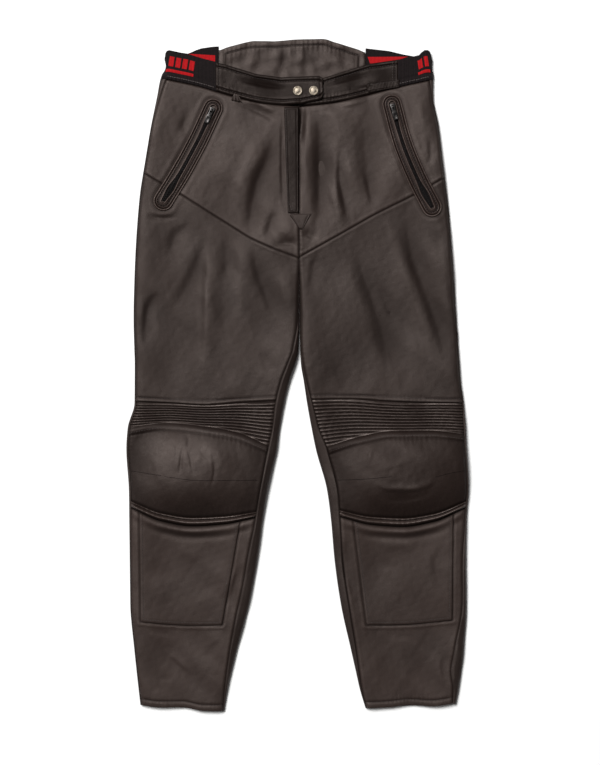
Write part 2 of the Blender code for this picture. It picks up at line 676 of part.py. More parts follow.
def pocket_slider(half):
    """The slider's body with the bridge that holds the pull tab."""
    name = f"pocket_slider_{half.name}"
    mesh = bmesh.new()
    body = add_box(mesh, (0.0, 0.0, SLIDER_HEIGHT / 2), (SLIDER_WIDTH, SLIDER_LENGTH, SLIDER_HEIGHT))
    for vert in body:
        if vert.co.y < 0.0:
            vert.co.x *= SLIDER_WAIST
    bmesh.ops.bevel(mesh, geom=mesh.edges[:], offset=SLIDER_BEVEL * MM, segments=1, affect="EDGES")
    data = bpy.data.meshes.new(name)
    mesh.to_mesh(data)
    mesh.free()
    slider = place(name, data, ZIP_FINISH)

    bridge_data = bpy.data.meshes.new("bridge_cutter")
    bridge = bmesh.new()
    roof = SLIDER_HEIGHT + BRIDGE_CLEAR
    foot = SLIDER_HEIGHT - POST_SINK
    top = roof + POST_OVERLAP
    add_box(bridge, (0.0, 0.0, roof + BRIDGE_ROOF / 2), (BRIDGE_WIDTH, 2 * BRIDGE_HALF_LENGTH, BRIDGE_ROOF))
    bridge.to_mesh(bridge_data)
    bridge.free()
    parts = [bpy.data.objects.new("bridge_roof", bridge_data)]
    for end in (-1, 1):
        post_mesh = bmesh.new()
        post_y = end * (BRIDGE_HALF_LENGTH - BRIDGE_POST / 2)
        add_box(post_mesh, (0.0, post_y, (foot + top) / 2), (BRIDGE_WIDTH, BRIDGE_POST, top - foot))
        post_data = bpy.data.meshes.new("bridge_post")
        post_mesh.to_mesh(post_data)
        post_mesh.free()
        parts.append(bpy.data.objects.new(f"bridge_post_{end}", post_data))
    frame = zip_frame(half)
    for part in parts:
        COLLECTION.objects.link(part)
        part.hide_render = True
        part.display_type = "WIRE"
        part.matrix_world = frame
        union = slider.modifiers.new("bridge", "BOOLEAN")
        union.operation = "UNION"
        union.object = part
    slider.matrix_world = frame
    return slider


def pull_axis_height():
    return SLIDER_HEIGHT + BRIDGE_CLEAR / 2


def pocket_pull(half):
    """The pull tab, with its bar under the slider's bridge; its origin is the hinge line."""
    name = f"pocket_pull_{half.name}"
    outline = bpy.data.curves.new(name, "CURVE")
    outline.dimensions = "2D"
    outline.fill_mode = "BOTH"
    outline.extrude = PULL_THICKNESS / 2 * MM
    half_width = PULL_WIDTH / 2
    neck = half_width * 0.75
    end = -PULL_LENGTH
    edge = [
        (-neck, PULL_BAR), (neck, PULL_BAR), (neck, -PULL_EYE_LENGTH - 1.0), (half_width, end + 4.0),
        (half_width, end + 1.5), (half_width - 1.5, end), (1.5 - half_width, end), (-half_width, end + 1.5),
        (-half_width, end + 4.0), (-neck, -PULL_EYE_LENGTH - 1.0),
    ]
    eye = PULL_EYE_WIDTH / 2
    window = [(-eye, -PULL_BAR), (-eye, -PULL_EYE_LENGTH), (eye, -PULL_EYE_LENGTH), (eye, -PULL_BAR)]
    for ring in (edge, window):
        spline = outline.splines.new("POLY")
        spline.points.add(len(ring) - 1)
        for point, (x, y) in zip(spline.points, ring):
            point.co = (x * MM, y * MM, 0.0, 1.0)
        spline.use_cyclic_u = True
    outline.materials.append(PULL_FINISH)
    pull = bpy.data.objects.new(name, outline)
    COLLECTION.objects.link(pull)
    hinge = zip_frame(half) @ Matrix.Translation((0.0, 0.0, pull_axis_height() * MM))
    pull.matrix_world = hinge @ Matrix.Rotation(math.radians(PULL_REST_DEGREES), 4, "X")
    return pull


def waistband(half, top_edge, start, end, name):
    """A half of the waistband, sewn above the hip panel; the right one laps over the left."""
    columns = np.linspace(start, end, 15)
    grid = []
    for v in np.linspace(0.0, 1.0, 4):
        row = []
        for x in columns:
            rise = 0.0
            bottom = waist_seam_y(half, x) + SEAM_GAP
            if half.name == "right" and x > LAP_START:
                rise = (WAISTBAND_WALL + 2 * LAY_GAP) * float(ease((x - LAP_START) / (LAP_FULL - LAP_START)))
                bottom = max(edge_at(LAP_BOTTOM, x), bottom if x < CENTRE_X else 0.0)
            top = edge_at(top_edge, x)
            if half.name == "right" and x > end - LAP_END_ROUND:
                corner = LAP_END_ROUND - math.sqrt(max(0.0, LAP_END_ROUND**2 - (x - end + LAP_END_ROUND) ** 2))
                top -= corner * 0.8
                bottom += corner * 0.8
            row.append((x, bottom + v * (top - bottom), rise - WAISTBAND_WALL))
        grid.append(row)
    return laid_grid(name, grid, 0.0, WAISTBAND_WALL, LEATHER_FINISH)


def waist_seam_y(half, x):
    """The height of the waist seam at x."""
    y = 440.0
    for _ in range(6):
        outer = seam_x(half, y, 0.0)
        inner = seam_x(half, y, 1.0)
        y = seam_level(half, "waist", np.clip((x - outer) / (inner - outer), 0.0, 1.0))
    return y


def elastic(half, front_top, back_top, front_end, back_end):
    """The side elastic: from the waistband's end round the side fold to the back panel."""
    outer, inner = [], []
    for v in np.linspace(0.0, 1.0, 4):
        points = []
        side_y = waist_seam_y(half, seam_x(half, 457.0, 0.0)) + SEAM_GAP
        side_top = edge_at(front_top, front_top[-1].x)
        y_side = side_y + v * (side_top - side_y)
        edge = along(half.outline, "outer", y_side)
        reach = abs(edge - front_end)
        for inset in (reach, reach * 0.66, reach * 0.33, 12.0, 5.0, 1.5, 0.0):
            x = edge - half.sign * inset
            bottom = waist_seam_y(half, x) + SEAM_GAP
            y = bottom + v * (edge_at(front_top, x) - bottom)
            points.append([x, y, front_height(half, x, y)])
        fold = along(LAY, "fold", y_side)
        for turn in (30, 60, 90):
            angle = math.radians(turn)
            x = edge - half.sign * UNDERSIDE_ROUND * (1.0 - math.cos(angle))
            points.append([x, y_side, fold * (1.0 - math.sin(angle))])
        start = points[-1][0]
        for t in (*FLOOR_STEPS, 1.0):
            x = start + t * (back_end - start)
            bottom = back_waist_y(half, x) + SEAM_GAP / 2
            points.append([x, bottom + v * (edge_at(back_top, x) - bottom), 0.0])
        first = front_normal(half, points[0][0], points[0][1])
        outer.append(points)
        inner.append(section_inside(points, ELASTIC_WALL, first, np.array([0.0, 0.0, -1.0])))
    return add_piece(f"elastic_{half.name}", np.array(outer), np.array(inner), ELASTIC_FINISH)


def back_yoke():
    """The high panel over the kidneys: its inside shows above the front's waistband."""
    columns = [YOKE_TOP[0].x, -115.0, -95.0, -71.0, -50.0, -33.3, -15.0, 5.0, 25.0, 42.6, 50.0, 58.0, 75.0, 95.3, 105.5]
    bottoms = [back_waist_y(half_at(x), x) + SEAM_GAP / 2 for x in columns]
    outer, inner = [], []
    for v in np.linspace(0.0, 1.0, 3):
        under = [[x, low + v * (edge_at(YOKE_TOP, x) - low), 0.0] for x, low in zip(columns, bottoms)]
        outer.append(under)
        inner.append([[x, y, YOKE_WALL] for x, y, _ in under])
    return add_piece("back_yoke", np.array(outer), np.array(inner), LEATHER_FINISH)


def fly_placket():
    """The strip stitched down the right front's edge, beside the fly."""
    grid = corner_grid(
        [Place(FLY_LEFT, FLY_TOP), Place(FLY_EDGE, FLY_TOP), Place(FLY_EDGE, FLY_BOTTOM), Place(FLY_LEFT + 6.0, FLY_BOTTOM)],
        3, 6,
    )
    return laid_grid("fly_placket", grid, LAY_GAP, PATCH_WALL, LEATHER_FINISH)


def snap(name, spot):
    """A snap fastener's domed cap, turned."""
    profile = bpy.data.meshes.new(name)
    rise = SNAP_HEIGHT
    radius = SNAP_RADIUS
    steps = [
        (0.0, rise), (radius * 0.35, rise * 0.97), (radius * 0.68, rise * 0.82), (radius * 0.9, rise * 0.5),
        (radius, rise * 0.2), (radius, 0.0), (0.0, 0.0),
    ]
    profile.from_pydata([(x * MM, 0.0, z * MM) for x, z in steps], [(i, i + 1) for i in range(len(steps) - 1)], [])
    cap = place(name, profile, SNAP_FINISH)
    turned = cap.modifiers.new("turned", "SCREW")
    turned.steps = 24
    turned.render_steps = 24
    turned.use_merge_vertices = True
    turned.merge_threshold = 0.00005
    half = half_at(spot.x)
    lap = (WAISTBAND_WALL + 2 * LAY_GAP) * float(ease((spot.x - LAP_START) / (LAP_FULL - LAP_START)))
    z = front_height(half, spot.x, spot.y) + lap + LAY_GAP
    cap.location = Vector((spot.x, spot.y, z)) * MM
    return cap


def build():
    for half in HALVES:
        front_panel(half, "hip_front", "waist", "hip", LEATHER, LEATHER_FINISH)
        front_panel(half, "thigh", "hip", "thigh", LEATHER, LEATHER_FINISH)
        front_panel(half, "accordion", "thigh", "knee_top", ACCORDION_WALL, LEATHER_FINISH)
        front_panel(half, "knee", "knee_top", "knee_bottom", LEATHER, KNEE_FINISH, padding=KNEE_PADDING)
        front_panel(half, "knee_roll", "knee_bottom", "shin_top", LEATHER, LEATHER_FINISH, roll=KNEE_ROLL_HEIGHT)
        front_panel(half, "shin", "shin_top", "hem", LEATHER, LEATHER_FINISH)
        shin_patch(half)
        back_leg(half)
        seat(half)
        pocket_welt(half)
        pocket_zip(half)
        pocket_slider(half)
        pocket_pull(half)
    right, left = HALVES
    waistband(right, RIGHT_BAND_TOP, BAND_END_RIGHT, RIGHT_BAND_TOP[-1].x, "waistband_right")
    waistband(left, LEFT_BAND_TOP, LEFT_BAND_TOP[0].x, BAND_END_LEFT, "waistband_left")
    elastic(right, RIGHT_ELASTIC_FRONT, RIGHT_ELASTIC_BACK, BAND_END_RIGHT - SEAM_GAP, YOKE_TOP[0].x - SEAM_GAP)
    elastic(left, LEFT_ELASTIC_FRONT, LEFT_ELASTIC_BACK, BAND_END_LEFT + SEAM_GAP, YOKE_TOP[-1].x + SEAM_GAP)
    back_yoke()
    fly_placket()
    laid_grid("fly_tab", corner_grid(FLY_TAB, 5, 3), LAY_GAP, PATCH_WALL, LEATHER_FINISH)
    laid_grid("belt_loop_stub", corner_grid(LOOP_STUB, 3, 3), LAY_GAP, PATCH_WALL, LEATHER_FINISH)
    laid_grid("side_tab", corner_grid(SIDE_TAB, 6, 2), LAY_GAP, PATCH_WALL, LEATHER_FINISH)
    for name, spot in SNAP_PLACES.items():
        snap(f"snap_cap_{name}", spot)


build()
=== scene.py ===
"""Motorcycle trousers of black-brown leather, laid flat on their back, front up.

The waist points along +Y and the hems along -Y. The front's outer face looks along +Z and the
trousers rest on z = 0. Sizes in the tables are millimetres. Right and left are the wearer's:
right is at -X.
"""

import json
import math
from collections import namedtuple

import bpy
import numpy as np
from mathutils import Matrix, Vector

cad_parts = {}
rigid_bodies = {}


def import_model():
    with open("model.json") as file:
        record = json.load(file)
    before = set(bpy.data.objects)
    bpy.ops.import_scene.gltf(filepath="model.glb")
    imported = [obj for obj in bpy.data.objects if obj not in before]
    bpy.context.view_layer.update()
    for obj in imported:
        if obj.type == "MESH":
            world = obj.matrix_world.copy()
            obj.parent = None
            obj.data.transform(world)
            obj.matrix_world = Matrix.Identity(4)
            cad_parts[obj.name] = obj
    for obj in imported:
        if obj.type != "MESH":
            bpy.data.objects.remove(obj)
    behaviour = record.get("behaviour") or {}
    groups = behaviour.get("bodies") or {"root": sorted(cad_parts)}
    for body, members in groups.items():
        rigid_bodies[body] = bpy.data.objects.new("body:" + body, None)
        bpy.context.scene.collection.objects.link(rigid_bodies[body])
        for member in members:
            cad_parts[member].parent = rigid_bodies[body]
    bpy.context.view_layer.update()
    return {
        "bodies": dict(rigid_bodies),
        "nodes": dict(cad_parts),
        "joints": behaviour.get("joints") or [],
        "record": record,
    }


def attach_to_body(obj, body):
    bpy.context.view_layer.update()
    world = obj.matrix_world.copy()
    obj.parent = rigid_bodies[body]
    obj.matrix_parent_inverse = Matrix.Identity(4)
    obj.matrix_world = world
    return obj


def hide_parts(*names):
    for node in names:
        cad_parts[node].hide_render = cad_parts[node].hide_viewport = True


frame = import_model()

MM = 0.001

# Walls and gaps
WALL = 1.6             # leather with its lining, as a shell
SEAM_GAP = 0.3         # between two pieces sewn edge to edge
LAY_GAP = 0.5          # under a piece that lies on another
PATCH_WALL = 1.8
BAND_WALL = 3.0        # the waistband, folded leather
YOKE_WALL = 3.0
ELASTIC_WALL = 2.0
BAND_SHELL = 2.2
PATCH_SHELL = 1.5
WELT_SHELL = 1.1
STRIP_SHELL = 1.2
TAPE_WALL = 0.6
RED_WALL = 0.35        # a red design knitted into an elastic
SMOOTH_CLOTH = 42.0    # degrees
SMOOTH_METAL = 35.0

# How the flattened garment rounds off at its side folds
SHOULDER_WIDTH = 16.0
SHOULDER_POWER = 2.2
UNDERSIDE_ROUND = 6.0
HOLLOW_START = 8.0
HOLLOW_REACH = 60.0
CROTCH_Y = 178.0
PARTING = 26.0
SOFT_PARTING = 64.0    # below the crotch the front rounds off into two legs over this
BACK_WAIST_Y = 456.0
CENTRE_X = 2.6

# Outline of each half from waist to hem, and how far inside it the seams lie on the front
Outline = namedtuple("Outline", "y outer inner seam_out seam_in")


def rows_of(kind, *rows):
    """Rows of figures with a name for each column."""
    return [kind(*row) for row in rows]


RIGHT_OUTLINE = rows_of(
    Outline,
    (505.0, -205.4, 2.4, 12.0, 0.2),
    (476.0, -205.8, 2.4, 12.0, 0.2),
    (458.4, -213.1, 2.4, 10.0, 0.2),
    (433.6, -217.8, 2.4, 5.5, 0.2),
    (387.1, -227.1, 2.4, 1.6, 0.2),
    (332.9, -236.4, 2.4, 1.5, 0.2),
    (270.9, -245.7, 2.4, 1.5, 0.2),
    (181.0, -251.9, 2.4, 1.5, 0.2),
    (84.9, -254.5, 2.2, 1.5, 2.0),
    (38.4, -253.4, 1.4, 1.5, 9.0),
    (15.1, -252.7, -3.9, 1.5, 12.5),
    (-8.1, -252.7, -11.6, 1.5, 13.8),
    (-43.8, -253.0, -20.2, 2.5, 14.5),
    (-82.5, -263.5, -27.1, 3.5, 12.0),
    (-116.6, -265.8, -31.8, 3.5, 14.6),
    (-178.6, -261.9, -45.7, 3.5, 12.2),
    (-225.1, -261.2, -53.5, 3.0, 12.4),
    (-287.1, -260.4, -62.0, 2.0, 16.5),
    (-356.9, -259.6, -75.2, 1.5, 16.8),
    (-426.6, -253.4, -93.8, 1.5, 11.3),
    (-488.6, -246.8, -108.5, 1.5, 4.8),
    (-522.0, -242.8, -114.0, 1.5, 2.2),
)
LEFT_OUTLINE = rows_of(
    Outline,
    (505.0, 207.0, 2.8, 12.0, 0.2),
    (476.0, 209.5, 2.8, 10.0, 0.2),
    (456.9, 210.8, 2.8, 6.0, 0.2),
    (433.6, 210.8, 2.8, 3.0, 0.2),
    (387.1, 219.3, 2.8, 1.6, 0.2),
    (332.9, 225.5, 2.8, 1.5, 0.2),
    (270.9, 233.3, 2.8, 1.5, 0.2),
    (181.0, 241.0, 2.8, 1.5, 0.2),
    (84.9, 247.2, 3.0, 1.5, 1.6),
    (38.4, 250.3, 4.0, 1.5, 1.8),
    (15.1, 251.9, 5.4, 1.5, 3.8),
    (-8.1, 253.4, 9.3, 1.5, 5.2),
    (-43.8, 258.1, 14.7, 2.5, 9.0),
    (-82.5, 261.2, 21.7, 3.5, 12.0),
    (-116.6, 262.7, 28.7, 3.5, 18.5),
    (-178.6, 265.8, 45.7, 3.5, 17.0),
    (-225.1, 262.7, 51.9, 3.0, 14.8),
    (-287.1, 261.9, 57.4, 6.0, 13.4),
    (-356.9, 262.7, 67.4, 7.0, 13.2),
    (-426.6, 258.1, 82.9, 15.0, 8.8),
    (-455.0, 255.0, 89.3, 17.0, 6.2),
    (-488.6, 250.3, 96.9, 9.0, 3.6),
    (-522.0, 243.9, 107.0, 4.0, 1.6),
)

# Height of the lay: the side fold's widest point, the top of the fold, the sag between the folds
Lay = namedtuple("Lay", "y fold shoulder sag")
LAY = rows_of(
    Lay,
    (505.0, 4.6, 10.0, 2.0),
    (458.0, 5.0, 11.5, 3.6),
    (271.0, 5.5, 13.0, 5.0),
    (85.0, 5.5, 13.0, 5.0),
    (-44.0, 5.5, 12.5, 4.0),
    (-225.0, 5.5, 12.5, 3.6),
    (-290.0, 5.0, 12.0, 4.2),
    (-430.0, 4.8, 11.0, 3.6),
    (-522.0, 4.6, 10.0, 2.8),
)

# Where each seam across the front lies, at five even steps from the outer seam to the inner one
SEAM_STEPS = [0.0, 0.25, 0.5, 0.75, 1.0]
RIGHT_SEAMS = {
    "waist": [458.4, 448.3, 433.6, 421.2, 416.6],
    "hip": [312.7, 280.2, 243.0, 205.8, 181.0],
    "thigh": [-42.2, -44.6, -47.7, -43.8, -40.7],
    "knee_top": [-82.5, -74.8, -79.4, -88.7, -110.4],
    "knee_bottom": [-195.7, -214.3, -221.3, -218.9, -212.0],
    "shin_top": [-206.5, -227.5, -235.2, -232.1, -222.0],
    "hem": [-512.7, -515.8, -515.8, -521.2, -522.0],
}
LEFT_SEAMS = {
    "waist": [456.9, 446.8, 433.6, 422.0, 416.6],
    "hip": [305.0, 275.5, 247.6, 215.1, 182.5],
    "thigh": [-44.6, -43.8, -41.5, -38.4, -39.1],
    "knee_top": [-91.8, -86.4, -87.2, -96.5, -112.0],
    "knee_bottom": [-195.7, -215.1, -222.0, -219.7, -209.6],
    "shin_top": [-206.5, -228.2, -236.0, -232.9, -220.5],
    "hem": [-510.3, -514.2, -512.7, -515.8, -517.3],
}

# The knee cup's dome
Dome = namedtuple("Dome", "x y half_width half_length height")
RIGHT_DOME = Dome(-150.0, -148.0, 112.0, 80.0, 21.0)
LEFT_DOME = Dome(164.0, -150.0, 112.0, 80.0, 21.0)
DOME_SQUARENESS = 2.6
DOME_FOOT = 1.6

# Pocket zips, top end first
Place = namedtuple("Place", "x y")
RIGHT_ZIP = rows_of(Place, (-131.0, 413.5), (-154.2, 363.7), (-180.0, 315.8), (-208.0, 269.5))
LEFT_ZIP = rows_of(Place, (146.5, 419.7), (165.1, 353.0), (186.8, 301.9), (208.5, 260.0))
WELT_HALF_WIDTH = 15.5
WELT_SLOT_HALF_WIDTH = 2.0
WELT_SEAM = 7.0        # from its outer edge to its stitched groove
ZIP_HALF_WIDTH = 3.5
ZIP_THICKNESS = 1.3

# Shin patches: corners in the order top outer, top inner, bottom inner, bottom outer
RIGHT_PATCH = rows_of(Place, (-244.9, -228.0), (-89.1, -228.0), (-117.0, -387.9), (-242.6, -382.5))
LEFT_PATCH = rows_of(Place, (241.0, -228.0), (86.8, -228.0), (107.0, -387.9), (239.5, -380.1))
PATCH_BOTTOM_DIP = 3.0
SHIN_SEAM_Y = -228.0

# The waistband's top edge, and the part of the right half that laps over the left
RIGHT_BAND_TOP = rows_of(
    Place, (-126.5, 484.4), (-112.4, 481.7), (-64.3, 466.9), (-25.6, 461.5), (39.5, 463.0),
)
LEFT_BAND_TOP = rows_of(
    Place, (3.2, 456.0), (38.0, 460.0), (78.3, 472.4), (112.4, 483.2), (155.8, 488.5),
)
LAP_BOTTOM = rows_of(Place, (-30.0, 418.5), (2.4, 419.5), (39.5, 426.5))
LAP_START = -28.0
LAP_FULL = 0.0
LAP_END_ROUND = 8.0
BAND_END_RIGHT = -126.5
BAND_END_LEFT = 155.8

# The elastics at the sides: top edges of the part in front and of the part behind
RIGHT_ELASTIC_CORNER = rows_of(
    Place, (-181.0, 499.6), (-190.0, 501.5), (-199.0, 503.6), (-203.0, 502.5), (-205.6, 498.5),
)
RIGHT_ELASTIC_FRONT = rows_of(
    Place, (-126.9, 485.5), (-150.0, 491.5), (-171.0, 498.2), *RIGHT_ELASTIC_CORNER,
)
RIGHT_ELASTIC_BACK = rows_of(
    Place, (-122.6, 510.5), (-132.0, 510.0), (-149.6, 507.4), (-157.6, 504.8),
    (-166.0, 501.0), (-171.0, 499.2), *RIGHT_ELASTIC_CORNER,
)
LEFT_ELASTIC_CORNER = rows_of(
    Place, (184.0, 494.5), (188.5, 495.5), (192.0, 499.5), (197.0, 503.2),
    (202.0, 503.5), (205.5, 501.5), (207.4, 496.0),
)
LEFT_ELASTIC_FRONT = rows_of(Place, (156.2, 487.5), (172.0, 492.2), *LEFT_ELASTIC_CORNER)
LEFT_ELASTIC_BACK = rows_of(
    Place, (105.9, 507.5), (141.8, 503.4), (165.0, 497.8), *LEFT_ELASTIC_CORNER,
)

YOKE_TOP = rows_of(
    Place,
    (-122.2, 503.4),
    (-110.0, 509.0),
    (-71.0, 518.9),
    (-33.3, 518.2),
    (-2.3, 521.2),
    (42.6, 522.0),
    (58.0, 516.6),
    (95.3, 505.4),
    (105.5, 500.0),
)

# Fly, tabs and snaps
FLY_STRIP = rows_of(Place, (-20.9, 415.0), (1.6, 415.0), (1.6, 250.5), (-14.9, 250.5))
FLY_TAB = rows_of(Place, (-14.0, 249.8), (21.5, 249.8), (7.0, 225.0), (3.6, 225.0))
LOOP_STUB = rows_of(Place, (-98.0, 436.5), (-92.5, 435.0), (-86.0, 422.5), (-103.0, 425.5))
SIDE_TAB = rows_of(Place, (104.6, 451.0), (158.5, 458.5), (158.5, 446.0), (110.0, 437.5))
SNAP_PLACES = {"right": Place(0.3, 439.8), "left": Place(25.0, 439.8)}
SNAP_RADIUS = 7.5

# Zip slider and pull tab
SLIDER_WIDTH = 9.0
SLIDER_LENGTH = 10.5
SLIDER_HEIGHT = 2.4
SLIDER_PLACE = 5.0
SLIDER_AIM = 20.0
BRIDGE_CLEAR = 2.6
PULL_WIDTH = 8.0
PULL_LENGTH = 21.0
PULL_THICKNESS = 1.4
PULL_REST_DEGREES = 5.0

Half = namedtuple("Half", "name sign outline seams dome zip patch")
RIGHT = Half("right", -1, RIGHT_OUTLINE, RIGHT_SEAMS, RIGHT_DOME, RIGHT_ZIP, RIGHT_PATCH)
LEFT = Half("left", 1, LEFT_OUTLINE, LEFT_SEAMS, LEFT_DOME, LEFT_ZIP, LEFT_PATCH)
HALVES = [RIGHT, LEFT]

# Folds in the front: the line a fold follows, its height (a trough is negative) and half width
Crease = namedtuple("Crease", "path height width")
FOLDS = {
    "right": rows_of(
        Crease,
        ([(-160, 235), (-191, 214), (-198, 175)], -1.6, 6.0),  # from under the pocket, outwards
        ([(-133, 224), (-156, 168), (-196, 90)], -2.0, 8.0),  # long slanting trough
        ([(-207, 136), (-232, 103), (-235, 72), (-237, 38)], -2.2, 5.0),  # by the side
        ([(-131, 250), (-138, 175), (-141, 69), (-143, -30)], 3.2, 7.5),  # ridge down the middle
        ([(-108, 236), (-109, 190), (-114, 120)], -1.5, 8.0),  # from the slanted seam
        ([(-92, 226), (-88, 190), (-86, 140), (-88, 60)], 1.8, 9.0),
        ([(-72, 214), (-62, 165), (-46, 120), (-30, 70)], -2.6, 7.5),  # to the inner thigh
        ([(-122, 111), (-115, 88), (-111, 66)], -0.8, 5.0),
        ([(-60, 40), (-47, 14), (-38, -5)], -1.8, 6.0),  # low by the inner seam
        ([(-118, 20), (-109, -5), (-104, -25)], -0.8, 7.0),
        ([(-241, 245), (-213, 242), (-181, 244)], -1.5, 2.5),  # under the pocket's end
        ([(-235, 251), (-208, 248), (-185, 249)], 0.9, 2.5),
        ([(-229, 209), (-233, 178), (-226, 147)], 0.9, 7.0),  # outer bulge
        ([(-19, 175), (-22, 131), (-15, 88)], 1.0, 7.0),  # inner thigh bulge
        ([(-162, 420), (-171, 398), (-185, 369)], -2.0, 6.0),  # beside the pocket
        ([(-28, 388), (-46, 335), (-64, 291), (-72, 236), (-72, 200)], -3.8, 8.0),  # fold beside the fly
        ([(-50, 380), (-74, 328), (-90, 285), (-94, 236)], 1.8, 9.0),  # its ridge
        ([(-95, 422), (-61, 409), (-26, 388)], -1.8, 4.0),  # from the belt loop
        ([(-92, 430), (-58, 420), (-24, 404)], 1.6, 4.5),
        ([(-129, 311), (-136, 291), (-145, 269)], -1.0, 5.0),
        ([(-38, 197), (-22, 204), (-8, 203), (2, 190)], -3.0, 3.6),  # crotch curl
        ([(-28, 262), (-41, 236), (-47, 205)], -2.4, 6.0),
        ([(-40, 226), (-22, 222), (-5, 208)], 1.2, 5.5),
        ([(-108, 392), (-112, 340), (-104, 285)], 1.4, 22.0),  # broad swell of the hip
        ([(-24, 408), (-24.5, 330), (-23, 256)], -1.4, 2.0),  # along the fly's strip
        ([(-221, 418), (-226, 387), (-230, 348)], 0.9, 6.0),  # hip's outer edge
        ([(-146, 432), (-153, 424), (-157, 413)], -1.0, 4.0),
        ([(-177, -108), (-180, -132), (-183, -160)], -1.3, 1.5),  # fine wrinkles of the knee
        ([(-170, -112), (-164, -136), (-160, -160)], -1.1, 1.4),
        ([(-153, -112), (-145, -124), (-130, -135)], -1.0, 1.6),
        ([(-133, -118), (-128, -146), (-134, -175)], -1.1, 1.7),
        ([(-173, -90), (-169, -101), (-171, -114)], -1.3, 1.4),
        ([(-195, -100), (-187, -117), (-190, -138)], -1.0, 1.6),
        ([(-238, -293), (-216, -303), (-190, -323)], -1.2, 9.0),  # patch hollows
        ([(-173, -352), (-146, -334), (-117, -313)], -1.0, 9.0),
        ([(-229, -313), (-213, -334), (-208, -358)], 1.2, 9.0),
        ([(-190, -264), (-162, -276), (-133, -275)], 0.9, 10.0),
        ([(-86, -287), (-100, -334), (-112, -368)], -1.6, 4.5),  # by the patch
        ([(-208, -425), (-185, -444), (-160, -467)], 1.3, 3.5),
        ([(-235, -396), (-213, -400), (-185, -408)], -1.0, 3.5),  # under the patch
        ([(-117, -411), (-133, -424), (-146, -444)], -0.9, 4.0),
        ([(-142, -458), (-128, -468), (-117, -473)], -0.8, 3.0),
        ([(-229, -467), (-205, -472), (-182, -468)], -0.6, 4.0),
        ([(-233, -492), (-219, -486), (-198, -495)], -0.6, 4.0),
        ([(-100, 459), (-66, 453), (-40, 448), (-5, 446)], -2.6, 3.6),  # hollow in the waistband
        ([(-88, 468), (-60, 462), (-30, 459)], 1.2, 3.0),
        ([(-117, 466), (-111, 457), (-114, 446)], -0.8, 3.0),
    ),
    "left": rows_of(
        Crease,
        ([(164, 262), (180, 182), (207, 110), (240, 0)], -4.4, 9.0),  # deep long trough
        ([(150, 245), (162, 175), (188, 105), (218, 10)], 1.8, 10.0),
        ([(92, 240), (100, 168), (118, 117), (132, 68), (143, 0), (138, -35)], -3.2, 11.0),
        ([(39, 196), (25, 168), (18, 114)], -1.4, 5.0),  # from the crotch
        ([(125, 150), (139, 111), (153, 69)], -1.2, 6.0),
        ([(137, 254), (146, 227), (160, 196)], 1.2, 7.0),  # ridge from the slanted seam
        ([(104, 20), (100, -7), (99, -30)], -1.0, 6.0),
        ([(158, 12), (166, -8), (170, -30)], -1.0, 6.0),
        ([(50, 14), (45, -8), (42, -28)], -0.8, 5.0),
        ([(210, 231), (218, 209), (230, 184)], -1.6, 8.0),  # outer hollow
        ([(61, 175), (60, 116), (67, 38)], 1.2, 14.0),  # long low bulges
        ([(165, 116), (181, 62), (196, 0)], 1.2, 10.0),
        ([(13, 410), (13, 333), (13, 245)], 2.0, 5.5),  # ridge beside the fly
        ([(33, 425), (35, 330), (33, 250), (22, 196)], -3.6, 7.5),  # deep trough beside the fly
        ([(64, 430), (68, 340), (62, 250)], 2.2, 12.0),
        ([(104, 425), (108, 340), (114, 250)], -2.2, 12.0),
        ([(150, 430), (156, 350), (160, 280)], 1.6, 16.0),
        ([(6.5, 430), (6, 398), (4, 350)], -5.0, 2.8),  # the slit at the top of the fly
        ([(5, 224), (14, 218), (24, 214), (35, 214)], -4.2, 4.0),  # into the crotch
        ([(68, 372), (66, 312), (73, 266), (82, 222)], -2.8, 5.0),
        ([(52, 302), (60, 262), (74, 222)], 1.6, 6.0),
        ([(104, 322), (112, 290), (119, 255)], -2.2, 5.0),
        ([(29, 407), (53, 413), (84, 417)], -1.4, 4.0),  # from the waist
        ([(58, 413), (86, 421), (115, 429)], 1.2, 4.0),
        ([(176, 429), (190, 403), (202, 370)], 1.4, 5.0),  # pocket's outer ridge
        ([(210, 382), (207, 351), (207, 320)], -1.6, 5.0),
        ([(216, 297), (222, 263), (230, 217)], -1.8, 8.0),
        ([(21, 231), (30, 237), (40, 227)], 1.0, 5.0),
        ([(115, -165), (140, -176), (171, -177), (205, -169), (218, -155)], 1.5, 3.0),  # knee fold
        ([(120, -183), (151, -194), (187, -189), (215, -174)], -0.8, 4.0),
        ([(120, -104), (111, -124), (108, -148)], 1.0, 2.0),
        ([(103, -103), (97, -120), (94, -138)], -0.7, 2.4),
        ([(84, -110), (77, -124), (74, -141)], -0.5, 2.6),
        ([(131, -117), (151, -129), (177, -124)], -0.9, 9.0),
        ([(125, -148), (156, -137), (182, -129)], 0.5, 4.0),
        ([(235, -256), (215, -296), (232, -346)], -1.6, 8.0),  # patch hollow
        ([(120, -265), (156, -262), (190, -264)], 1.0, 8.0),
        ([(153, -334), (160, -349), (154, -369)], -0.5, 3.5),
        ([(81, -250), (74, -275), (74, -296), (91, -349)], -1.6, 4.0),  # by the patch
        ([(115, -310), (131, -296), (162, -298)], -0.7, 6.0),
        ([(136, -411), (159, -405), (190, -414)], -0.7, 5.0),
        ([(164, -455), (177, -473), (165, -496)], -0.8, 5.0),
        ([(125, -434), (134, -455), (128, -476)], -0.6, 6.0),
        ([(232, -427), (226, -453), (235, -489)], -1.0, 4.0),
        ([(36, 447), (81, 460), (120, 468)], -2.2, 3.6),  # waistband
        ([(84, 444), (109, 452), (136, 460)], 1.2, 3.5),
        ([(111, 460), (114, 449), (109, 441)], -1.4, 2.5),
        ([(133, 472), (140, 463), (137, 452)], -0.8, 3.0),
    ),
}
